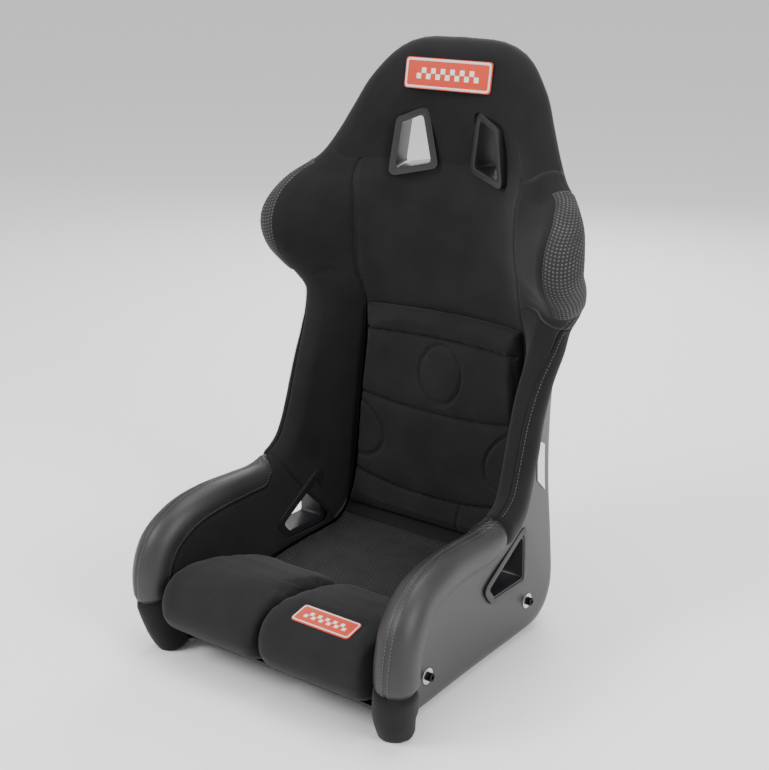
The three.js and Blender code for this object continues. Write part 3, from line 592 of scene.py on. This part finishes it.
def windowFrame(kind):
    # turns a point (across, up, out) of a window into the row frame, in millimetres
    y, z = lines["middleY"], lines["floorZ"]
    if kind == "lap":
        return Matrix(((0, 0, 1, 0), (1, 0, 0, -y), (0, 1, 0, -z), (0, 0, 0, 1)))
    a = math.radians(windows[kind]["yaw"])
    m = windows[kind]["middle"]
    return Matrix(((math.cos(a), 0, -math.sin(a), m[0]), (-math.sin(a), 0, -math.cos(a), m[1] - y),
                   (0, 1, 0, m[2] - z), (0, 0, 0, 1)))


def block(outline, low, high, kind):
    # a prism on a window's outline, in metres
    bm = bmesh.new()
    frameOf = windowFrame(kind)
    face = bm.faces.new([bm.verts.new((frameOf @ Vector((p.x, p.y, low))) / 1000) for p in outline])
    out = (frameOf.to_3x3() @ Vector((0, 0, high - low))) / 1000
    made = bmesh.ops.extrude_face_region(bm, geom=[face])
    bmesh.ops.translate(bm, vec=out, verts=[g for g in made["geom"] if isinstance(g, bmesh.types.BMVert)])
    bmesh.ops.recalc_face_normals(bm, faces=bm.faces)
    return bm


def cutterOf(name, blocks):
    # one object of several blocks and their mirror images
    mesh = bpy.data.meshes.new(name)
    whole = bmesh.new()
    for bm in blocks:
        for flip in (False, True):
            part = bm.copy()
            if flip:
                bmesh.ops.scale(part, vec=(-1, 1, 1), verts=part.verts)
                bmesh.ops.reverse_faces(part, faces=part.faces)
            holder = bpy.data.meshes.new("part")
            part.to_mesh(holder)
            whole.from_mesh(holder)
            bpy.data.meshes.remove(holder)
            part.free()
        bm.free()
    whole.to_mesh(mesh)
    whole.free()
    piece = bpy.data.objects.new(name, mesh)
    scene.collection.objects.link(piece)
    return piece


harness, lap, clear = windows["harness"], windows["lap"], windows["clear"]
harnessHole = roundedOutline(grownCorners(harness["corners"], windows["sleeve"] + clear - harness["rim"]), 8)
lapHole = roundedOutline(grownCorners(lap["corners"], windows["sleeve"] + clear), 8)
harnessBed = roundedOutline(grownCorners(harness["corners"], clear), 12)
lapBed = roundedOutline(grownCorners(lap["corners"], lap["rim"] + clear), 15)
holeCutter = cutterOf("holeCutter", [block(harnessHole, *harness["hole"], "harness"),
                                     block(lapHole, *lap["hole"], "lap")])
bedCutter = cutterOf("bedCutter", [block(harnessBed, harness["bed"] - clear, harness["hole"][1], "harness"),
                                   block(lapBed, lap["innerFrom"], lap["bed"] + clear, "lap"),
                                   block(lapBed, lap["outerFrom"], lap["hole"][1], "lap")])


def cutWith(piece, *cutters):
    for cutter in cutters:
        change = piece.modifiers.new("cut", "BOOLEAN")
        change.operation = "DIFFERENCE"
        change.solver = "MANIFOLD"
        change.object = cutter
    before = len(piece.data.polygons)
    applyModifiers(piece)
    piece.data.set_sharp_from_angle(angle=math.radians(50))
    print("cut", piece.name, before, "->", len(piece.data.polygons), "faces")


# glued covers
print("covers")
coverSettings = {
    "rowsPerStation": 5, "thickness": 3.2, "seamRadius": 5.5, "seamDepth": 3.4, "hands": 0.9, "handsCell": 55,
    "pucker": 0.55, "puckerCell": 7, "puckerReach": 16, "footRings": 7, "footDrop": 13, "crestWidth": 0.006,
    "fill": 0.75, "bedBlend": 14, "bedGap": 0.4, "bedReach": 60,
}
patches = {
    "headPatch": {"node": "head_badge", "body": "seat", "border": 3.2, "middle": (0, 273.5, 911),
                  "tilt": 9.5, "turned": False, "half": (81, 24.3), "bed": (82, 25), "square": 9.0,
                  "rows": 2, "columns": 13},
    "legPatch": {"node": "leg_badge", "body": "leg_cushion_left", "border": 2.4,
                 "middle": (104, -176, 180.5), "tilt": 11, "turned": True, "half": (53, 19), "bed": (54, 20),
                 "square": 7.0, "rows": 2, "columns": 11},
}


def cover(name, material, nodes, spanS, spanT, columns, seams, joined=False, mirror=False, lift=0.0,
          foot=False, hands=1.0, crest=0.0, thickness=None, pucker=1.0, patch=None):
    # seams names the borders that drop into a seam: s0, s1, t0, t1; crest is the depth of a sewn line
    c = coverSettings
    rows = max(8, int(round((spanS[1] - spanS[0]) * c["rowsPerStation"])))
    p, n, st, u, v = surfaceGrid(rows, columns, padPoint, spanS, spanT)
    fromSeam = np.full(u.shape, 1e3)
    if "s0" in seams:
        fromSeam = np.minimum(fromSeam, u)
    if "s1" in seams:
        fromSeam = np.minimum(fromSeam, u[-1:] - u)
    if "t0" in seams:
        fromSeam = np.minimum(fromSeam, v)
    if "t1" in seams:
        fromSeam = np.minimum(fromSeam, v[:, -1:] - v)
    drop = tucked(fromSeam, c["seamRadius"], c["seamDepth"])
    ripples = np.zeros(u.shape)
    for i in range(u.shape[0]):
        for j in range(u.shape[1]):
            at = Vector((u[i, j] / c["puckerCell"], v[i, j] / (c["puckerCell"] * 4), spanS[0]))
            fade = math.exp(-fromSeam[i, j] / c["puckerReach"])
            ripples[i, j] = noise.noise(at) * c["pucker"] * pucker * fade
    raised = p + n * (lift - drop + ripples)[..., None]
    if crest:
        raised = raised - n * (crest * np.exp(-((st[..., 1] - onCrest) / c["crestWidth"]) ** 2))[..., None]
    raised = crumple(raised, n, c["handsCell"], c["hands"] * hands)
    if patch:
        raised = pressedFlat(raised, patches[patch])
    if joined:
        raised[:, 0, 0] = 0
        if spanS[1] >= last:
            raised[-1, :, 0] = 0
    if foot:
        raised, u, v = closedFoot(raised, u, v)
    bm = toBmesh(raised, u, v, joined)
    piece = finishPiece(bm, name, material, "seat", nodes, mirror)
    thicken(piece, (thickness or c["thickness"]) / 1000)
    return piece


def patchAxes(c):
    # up and out of a patch; a turned one lies on a nearly level face
    a = math.radians(c["tilt"])
    if c["turned"]:
        return (0, math.cos(a), math.sin(a)), (0, -math.sin(a), math.cos(a))
    return (0, math.sin(a), math.cos(a)), (0, -math.cos(a), math.sin(a))


def pressedFlat(p, c):
    # sinks the cover under a sewn patch, so that the patch lies flat on it
    up, out = [np.array(axis) for axis in patchAxes(c)]
    d = p - np.array(c["middle"])
    high = d @ out
    edge = np.maximum(np.abs(d[..., 0]) - c["bed"][0], np.abs(d @ up) - c["bed"][1])
    share = 1 - np.clip(edge / coverSettings["bedBlend"], 0, 1)
    share = share * share * (3 - 2 * share)
    gap = coverSettings["bedGap"]
    sink = np.where((high > -gap) & (high < coverSettings["bedReach"]), (high + gap) * share, 0)
    return p - out * sink[..., None]


def closedFoot(p, u, v):
    # rounds the cover's lower end off towards its middle, inside the floor line
    rings, drop = coverSettings["footRings"], coverSettings["footDrop"]
    middle = p[0].mean(axis=0)
    down = (p[0] - p[1]).mean(axis=0)
    down /= np.linalg.norm(down)
    caps = []
    for k in range(rings, 0, -1):
        a = math.pi / 2 * k / rings
        caps.append(middle + (p[0] - middle) * max(math.cos(a), 0.02) + down * drop * math.sin(a))
    out = np.concatenate([np.array(caps), p])
    out[..., 2] = np.maximum(out[..., 2], lines["floorZ"] + 1)
    pad = np.repeat(u[:1], rings, 0) - drop * np.linspace(1, 0, rings, endpoint=False)[:, None]
    return out, np.concatenate([pad, u]), np.concatenate([np.repeat(v[:1], rings, 0), v])


cover("seatBaseCover", baseCloth, ["seat_base_pad"], (0.35, lines["cushionBack"]), (0, onCorner - 0.002), 26,
      ("s0", "s1", "t1"), joined=True, hands=0.6, pucker=0.4)
backPad = cover("backCover", centreCloth, ["back_pad"], (lines["cushionBack"], lines["wingTop"]),
                (0, onCorner), 26, ("s0", "t1"), joined=True)
headPad = cover("headCover", velour, ["head_pad"], (lines["wingTop"], last), (0, 1), 110, ("t1",),
                joined=True, hands=0.8, patch="headPatch")
cutWith(headPad, holeCutter, bedCutter)
cutWith(backPad, holeCutter, bedCutter)

for side, mirror in sides:
    wall = cover(f"sideWallCover_{side}", velour, [f"side_pad_{side}"], (0, lines["wearEnd"]),
                 (onCorner, wearLine), 24, ("s0", "t0", "t1"), mirror=mirror)
    cutWith(wall, holeCutter, bedCutter)
    cover(f"torsoWallCover_{side}", velour, [], (lines["wearEnd"] - 0.02, lines["torsoTop"]),
          (onCorner, onCrest), 34, ("t0", "t1"), mirror=mirror)
    cover(f"footCover_{side}", velour, [f"foot_cover_{side}"], (0, lines["footTop"]), (lines["onWear"], 1),
          56, ("s1", "t1"), mirror=mirror, foot=True, pucker=1.6)
    cover(f"thighWearCover_{side}", leatherette, [f"thigh_wear_cover_{side}"],
          (lines["footTop"], lines["wearEnd"]), (wearLine, 1), 56, ("s0", "s1", "t0", "t1"), mirror=mirror,
          hands=0.7, pucker=1.5, crest=1.8)
    cover(f"torsoEdgeCover_{side}", velour, [f"torso_edge_cover_{side}"],
          (lines["wearEnd"], lines["torsoTop"]), (onCrest, 1), 36, ("s0", "t0", "t1"), mirror=mirror)
    cover(f"shoulderBolsterCover_{side}", velour, [f"shoulder_bolster_{side}"],
          (lines["torsoTop"], lines["wingTop"]), (onCorner, 1), 70, ("t0", "t1"), mirror=mirror,
          crest=1.0)
    cover(f"gripPanel_{side}", gripCloth, [], (17.3, 22.4), (0.60, 0.83), 26, ("s0", "s1", "t0", "t1"),
          mirror=mirror, lift=1.6, hands=0.9, pucker=0.3, thickness=1.5)

# stitching
print("stitching")
stitches = {"length": 3.6, "pitch": 5.2, "thick": 0.8, "wide": 1.7, "offset": 4.6, "proud": 0.4}


def stitchRow(bm, s0, s1, tOf, offset):
    # lays short stitches along a line on the pads, offset to one side of it in millimetres
    c = stitches
    samples = [s0 + (s1 - s0) * i / 400 for i in range(401)]
    line = []
    for s in samples:
        t = tOf(s)
        p = padPoint(s, t)
        a, b = padPoint(s, t - 0.004), padPoint(s, t + 0.004)
        across = (b - a).normalized()
        forward = (padPoint(min(s + 0.02, last), t) - padPoint(max(s - 0.02, 0), t)).normalized()
        normal = across.cross(forward).normalized()
        line.append((p + across * offset, normal, forward))
    walked, due = 0.0, 0.0
    for (p, n, f), (q, _, _) in zip(line, line[1:]):
        walked += (q - p).length
        if walked >= due:
            due += c["pitch"]
            middle = p + n * c["proud"]
            turn = Matrix((f, n.cross(f), n)).transposed().to_4x4()
            place = Matrix.Translation((middle - origin) / 1000) @ turn
            size = Matrix.Diagonal((c["length"] / 1000, c["thick"] * c["wide"] / 1000, c["thick"] / 1000, 1))
            bmesh.ops.create_icosphere(bm, subdivisions=1, radius=0.5, matrix=place @ size)


for side, mirror in sides:
    bm = bmesh.new()
    for offset in (-stitches["offset"], stitches["offset"]):
        stitchRow(bm, lines["footTop"] + 0.15, lines["wearEnd"] - 0.1, lambda s: onCrest, offset)
        stitchRow(bm, lines["torsoTop"] + 0.1, 17.2, lambda s: onCrest, offset)
    stitchRow(bm, lines["footTop"] + 0.2, 8.4, wearLine, 7.5)
    stitchRow(bm, lines["wearEnd"] + 0.2, lines["torsoTop"] - 0.1, lambda s: onCrest, 7.0)
    finishPiece(bm, f"topStitching_{side}", thread, "seat", [], mirror)

# composite shell
print("shell")
shellSettings = {"rows": 5, "columns": 60}
p, n, st, u, v = surfaceGrid(last * shellSettings["rows"], shellSettings["columns"],
                             lambda s, t: shellPoint(s, t, lines["shell"] / 2), (0, last), (0, 1))
p[:, 0, 0] = 0
p[-1, :, 0] = 0
bm = toBmesh(p, u, v, joined=True)
shell = finishPiece(bm, "compositeShell", composite, "seat", ["shell"])
thicken(shell, lines["shell"] / 1000)
cutWith(shell, holeCutter)

# side-mount fasteners
print("fasteners")
fastener = {
    "washer": 12.5, "washerThick": 2, "hole": 4.3, "head": 6.5, "headLong": 8, "socket": 3.1, "deep": 4.5,
    "shank": 3.85, "shankLong": 14, "boss": [(-9, 15.4), (-0.8, 17), (-0.1, 16.4), (-0.1, 6.9), (-9, 6.9)],
}


def turnedX(profile, x0, y, z, segments=48):
    # spins a profile of (out, radius) round an axis along X
    bm = bmesh.new()
    made = [bm.verts.new((x0 + x / 1000, y, z + r / 1000)) for x, r in profile]
    edges = [bm.edges.new((a, b)) for a, b in zip(made, made[1:])]
    bmesh.ops.spin(bm, geom=made + edges, cent=(x0, y, z), axis=(1, 0, 0), angle=2 * math.pi,
                   steps=segments, use_merge=True)
    bmesh.ops.remove_doubles(bm, verts=bm.verts, dist=0.00001)
    bmesh.ops.recalc_face_normals(bm, faces=bm.faces)
    return bm


for where in ("front", "rear"):
    for side, mirror in sides:
        low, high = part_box(f"mount_washer_{where}_left")
        y, z, x = (low[1] + high[1]) / 2, (low[2] + high[2]) / 2, low[0]
        w, t, hole = fastener["washer"], fastener["washerThick"], fastener["hole"]
        bm = turnedX([(0, hole), (0, w), (t - 0.35, w), (t, w - 0.5), (t, hole), (0, hole)], x, y, z)
        finishPiece(bm, f"washer_{where}_{side}", zincSteel, "seat", [f"mount_washer_{where}_{side}"],
                    mirror, 30)
        h, r = fastener["headLong"], fastener["head"]
        shank, shankEnd = fastener["shank"], -fastener["shankLong"]
        s, d = fastener["socket"], fastener["deep"]
        bm = turnedX([(shankEnd, 0.01), (shankEnd, shank), (0.05, shank), (0.05, r), (h - 0.7, r),
                      (h, r - 0.7), (h, s + 0.5), (h - 0.5, s), (h - d, s), (h - d - 1, 0.01)],
                     x + t / 1000 + 0.0001, y, z)
        finishPiece(bm, f"socketBolt_{where}_{side}", blackSteel, "seat", [f"mount_bolt_{where}_{side}"],
                    mirror, 30)
        bm = turnedX(fastener["boss"], x, y, z)
        finishPiece(bm, f"mountBoss_{where}_{side}", composite, "seat", [], mirror, 40)
        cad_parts[f"mount_insert_{where}_{side}"].data.materials.clear()
        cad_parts[f"mount_insert_{where}_{side}"].data.materials.append(blackSteel)

# window bezels
print("bezels")


def softened(node, name, material, width, segments=3):
    # a copy of a hard CAD node with its edges rounded
    bm = bmesh.new()
    bm.from_mesh(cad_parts[node].data)
    bmesh.ops.remove_doubles(bm, verts=bm.verts, dist=0.00002)
    bmesh.ops.dissolve_limit(bm, angle_limit=math.radians(3), verts=bm.verts, edges=bm.edges)
    sharp = [e for e in bm.edges if len(e.link_faces) == 2 and e.calc_face_angle(0) > math.radians(40)]
    bmesh.ops.bevel(bm, geom=sharp, offset=width, segments=segments, profile=0.5, affect="EDGES", material=-1,
                    clamp_overlap=True)
    return finishPiece(bm, name, material, "seat", [node], smoothAngle=35)


bezels = {
    "harness_bezel_front": ("harnessBezelFront", 0.0016), "harness_bezel_rear": ("harnessBezelRear", 0.0012),
    "lap_bezel_inner": ("lapBezelInner", 0.0016), "lap_bezel_outer": ("lapBezelOuter", 0.0009),
}
for side, _ in sides:
    for node, (name, width) in bezels.items():
        softened(f"{node}_{side}", f"{name}_{side}", mouldedPlastic, width)

# loose cushions
print("loose cushions")
swelling = {"frames": 20, "smoothing": 3, "mass": 0.3, "stiffness": 15}


def puffed(piece, cap, pressure, voxel):
    # remeshes a cushion, swells it as cloth and lets no point move further than the cap
    change = piece.modifiers.new("remesh", "REMESH")
    change.mode = "VOXEL"
    change.voxel_size = voxel
    applyModifiers(piece)
    bm = bmesh.new()
    bm.from_mesh(piece.data)
    for _ in range(swelling["smoothing"]):
        bmesh.ops.smooth_vert(bm, verts=bm.verts, factor=0.5, use_axis_x=True, use_axis_y=True,
                              use_axis_z=True)
    bm.to_mesh(piece.data)
    bm.free()
    before = np.empty(len(piece.data.vertices) * 3)
    piece.data.vertices.foreach_get("co", before)
    cloth = piece.modifiers.new("cloth", "CLOTH")
    cloth.settings.quality = 5
    cloth.settings.mass = swelling["mass"]
    cloth.settings.tension_stiffness = swelling["stiffness"]
    cloth.settings.compression_stiffness = swelling["stiffness"]
    cloth.settings.use_pressure = True
    cloth.settings.uniform_pressure_force = pressure
    cloth.settings.effector_weights.gravity = 0
    cloth.point_cache.frame_start, cloth.point_cache.frame_end = 1, swelling["frames"]
    for k in range(1, swelling["frames"] + 1):
        scene.frame_set(k)
    applyModifiers(piece)
    scene.frame_set(1)
    after = np.empty(len(before))
    piece.data.vertices.foreach_get("co", after)
    move = (after - before).reshape(-1, 3)
    length = np.linalg.norm(move, axis=1, keepdims=True)
    move *= np.minimum(1, cap / np.maximum(length, 1e-9))
    piece.data.vertices.foreach_set("co", (before.reshape(-1, 3) + move).ravel())
    change = piece.modifiers.new("finish", "SUBSURF")
    change.levels = change.render_levels = 1
    for poly in piece.data.polygons:
        poly.use_smooth = True


lumbar = {
    "rows": 180, "columns": 72, "foot": 9.75, "top": 15.3, "side": 0.296, "lift": 2.2, "edge": 9, "deep": 24,
    "endRound": 22, "sideRound": 14, "bandPuff": 5, "bandReach": 30, "seams": (10.8, 12.6, 14.45),
    "seamDepth": 8, "seamWidth": 3.2, "oval": (43, 50), "ovalRow": 13.52, "ovalDepth": 4, "ovalWidth": 3.4,
    "ovalPuff": 1.6, "sideOval": (60, 48), "sideOvalRow": 11.7, "endSeam": 62, "endSeamWidth": 2.6,
    "facing": 0.25, "cap": 0.004, "pressure": 3.0, "voxel": 0.0042, "fill": 0.55,
}
p, n, st, u, v = surfaceGrid(lumbar["rows"], lumbar["columns"], padPoint, (lumbar["foot"], lumbar["top"]),
                             (0, lumbar["side"]))
fromEnds = np.minimum(u, u[-1:] - u)
fromSide = v[:, -1:] - v
inside = np.clip(np.minimum(fromEnds / lumbar["endRound"], fromSide / lumbar["sideRound"]), 0, 1)
crown = np.sqrt(1 - (1 - inside) ** 2)
between = np.full(u.shape, 1e3)
for s in lumbar["seams"]:
    row = int(np.argmin(np.abs(st[:, 0, 0] - s)))
    between = np.minimum(between, np.abs(u - u[row:row + 1]))
band = np.sqrt(np.clip(1 - (1 - np.clip(between / lumbar["bandReach"], 0, 1)) ** 2, 0, 1))
thick = lumbar["edge"] + (lumbar["deep"] - lumbar["edge"]) * crown
thick += lumbar["bandPuff"] * (band - 1) * inside
front = p + n * (lumbar["lift"] + thick)[..., None]
back = p + n * lumbar["lift"]
front[:, 0, 0] = 0
bm = toBmesh(front, u, v, joined=True)
made = bmesh.ops.extrude_face_region(bm, geom=bm.faces[:])
moved = [g for g in made["geom"] if isinstance(g, bmesh.types.BMVert)]
kd = kdtree.KDTree(front.shape[0] * front.shape[1] * 2)
flatFront, flatBack = front.reshape(-1, 3), back.reshape(-1, 3)
for k, q in enumerate(flatFront):
    for m in (0, 1):
        kd.insert(inRow(q, (-1) ** m), 2 * k + m)
kd.balance()
for vert in moved:
    k = kd.find(vert.co)[1]
    vert.co = inRow(flatBack[k // 2], (-1) ** (k % 2))
bmesh.ops.recalc_face_normals(bm, faces=bm.faces)
lumbarPiece = finishPiece(bm, "lumbarCushion", centreCloth, "lumbar_cushion", ["lumbar_cushion"])
puffed(lumbarPiece, lumbar["cap"], lumbar["pressure"], lumbar["voxel"])
applyModifiers(lumbarPiece)

# sewn channels and the outlines of the inner pads are pressed in last, as swelling would smooth them away
rowOf = {s: int(np.argmin(np.abs(st[:, 0, 0] - s))) for s in (lumbar["ovalRow"], lumbar["sideOvalRow"])}
half = v[:, -1:]
groove = lumbar["seamDepth"] * np.exp(-(between / lumbar["seamWidth"]) ** 2)


def outlineGroove(du, dv, size):
    # distance from the outline of an oval, as a narrow groove
    r = np.sqrt((dv / size[0]) ** 2 + (du / size[1]) ** 2)
    return lumbar["ovalDepth"] * np.exp(-((r - 1) * min(size) / lumbar["ovalWidth"]) ** 2)


uMiddle = u - u[rowOf[lumbar["ovalRow"]]][None, :]
uSide = u - u[rowOf[lumbar["sideOvalRow"]]][None, :]
groove = np.maximum(groove, outlineGroove(uMiddle, v, lumbar["oval"]))
groove = np.maximum(groove, outlineGroove(uSide, half - v, lumbar["sideOval"]))
lowBand = (st[..., 0] < lumbar["seams"][0])
endGroove = np.exp(-((v - lumbar["endSeam"]) / lumbar["endSeamWidth"]) ** 2)
leftOnly = np.where(lowBand, lumbar["ovalDepth"] * endGroove, 0)
ovalShare = np.sqrt((v / lumbar["oval"][0]) ** 2 + (uMiddle / lumbar["oval"][1]) ** 2)
puff = lumbar["ovalPuff"] * np.exp(-(np.maximum(ovalShare - 0.2, 0) * 1.4) ** 4)
flatGroove, flatLeft, flatNormal, flatPuff = groove.ravel(), leftOnly.ravel(), n.reshape(-1, 3), puff.ravel()
facing = [vert.normal.copy() for vert in lumbarPiece.data.vertices]
for vert, away in zip(lumbarPiece.data.vertices, facing):
    k = kd.find(vert.co)[1]
    flip = (-1) ** (k % 2)
    normal = Vector((flip * flatNormal[k // 2][0], flatNormal[k // 2][1], flatNormal[k // 2][2]))
    if away.dot(normal) < lumbar["facing"]:  # the cushion's rear face and its rim
        continue
    depth = max(flatGroove[k // 2], flatLeft[k // 2] if flip > 0 else 0) - flatPuff[k // 2]
    vert.co -= normal * depth / 1000

legCushion = {"cap": 0.006, "pressure": 4.0, "voxel": 0.005, "fill": 0.7}
for side, _ in sides:
    bm = bmesh.new()
    bm.from_mesh(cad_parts["leg_cushion_right"].data)
    bmesh.ops.remove_doubles(bm, verts=bm.verts, dist=0.00002)
    if side == "left":
        bmesh.ops.scale(bm, vec=(-1, 1, 1), verts=bm.verts)
        bmesh.ops.reverse_faces(bm, faces=bm.faces)
    leg = finishPiece(bm, f"legCushion_{side}", centreCloth, f"leg_cushion_{side}", [f"leg_cushion_{side}"])
    puffed(leg, legCushion["cap"], legCushion["pressure"], legCushion["voxel"])
    applyModifiers(leg)
    if side == "left":  # the cushion is held flat under its sewn patch
        shift = np.array([0, lines["middleY"], lines["floorZ"]])
        points = np.empty(len(leg.data.vertices) * 3)
        leg.data.vertices.foreach_get("co", points)
        points = pressedFlat(points.reshape(-1, 3) * 1000 + shift, patches["legPatch"])
        leg.data.vertices.foreach_set("co", ((points - shift) / 1000).ravel())
        leg.data.update()

# patches and label
print("patches and label")
sewing = {"stitch": 1.6, "shortest": 0.2, "size": (1.9, 1.5, 1.0), "high": 1.75, "square": 0.7,
          "squareHigh": 1.7, "squareGap": 0.6}
toMetres = Matrix.Diagonal((0.001, 0.001, 0.001, 1))


def patchFrame(c):
    # across, up and out of a patch, in the row frame and in millimetres
    up, out = [Vector(axis) for axis in patchAxes(c)]
    place = Vector(c["middle"]) - origin
    return Matrix(((1, up.x, out.x, place.x), (0, up.y, out.y, place.y), (0, up.z, out.z, place.z),
                   (0, 0, 0, 1)))


for name, c in patches.items():
    piece = softened(c["node"], name, redTwill, 0.0006, 2)
    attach(piece, c["body"])
    local = patchFrame(c)
    bm = bmesh.new()  # merrowed border: a raised band of stitching round the edge
    w, h, b = *c["half"], c["border"]
    path = roundedOutline([(-w + b, -h + b), (w - b, -h + b), (w - b, h - b), (-w + b, h - b)], 5, 6)
    steps = []
    for i, q in enumerate(path):
        following = path[(i + 1) % len(path)]
        count = (following - q).length // sewing["stitch"]
        steps += [q] + [q.lerp(following, k / (count + 1)) for k in range(1, int(count) + 1)]
    long, wide, thick = sewing["size"]
    for i, q in enumerate(steps):
        ahead = steps[(i + 1) % len(steps)] - q
        if ahead.length < sewing["shortest"]:
            continue
        turn = Matrix.Rotation(math.atan2(ahead.y, ahead.x), 4, "Z")
        spot = local @ Matrix.Translation((q.x, q.y, sewing["high"])) @ turn
        size = Matrix.Diagonal((long, b * wide, thick, 1))
        bmesh.ops.create_icosphere(bm, subdivisions=1, radius=0.5, matrix=toMetres @ spot @ size)
    finishPiece(bm, f"{name}Border", paleTwill, c["body"], [])
    bm = bmesh.new()  # plain chequers sewn across the middle
    for i in range(c["rows"]):
        for j in range(c["columns"]):
            if (i + j) % 2:
                continue
            x, y = (j - (c["columns"] - 1) / 2) * c["square"], (i - (c["rows"] - 1) / 2) * c["square"]
            across = c["square"] - sewing["squareGap"]
            spot = local @ Matrix.Translation((x, y, sewing["squareHigh"]))
            size = Matrix.Diagonal((across, across, sewing["square"], 1))
            bmesh.ops.create_cube(bm, size=1, matrix=toMetres @ spot @ size)
    bmesh.ops.bevel(bm, geom=bm.edges[:], offset=0.0002, segments=1, profile=0.5, affect="EDGES", material=-1)
    finishPiece(bm, f"{name}Chequers", paleTwill, c["body"], [], smoothAngle=30)
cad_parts["shell_label"].data.materials.clear()
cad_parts["shell_label"].data.materials.append(labelStock)

for cutter in (holeCutter, bedCutter):
    bpy.data.objects.remove(cutter)
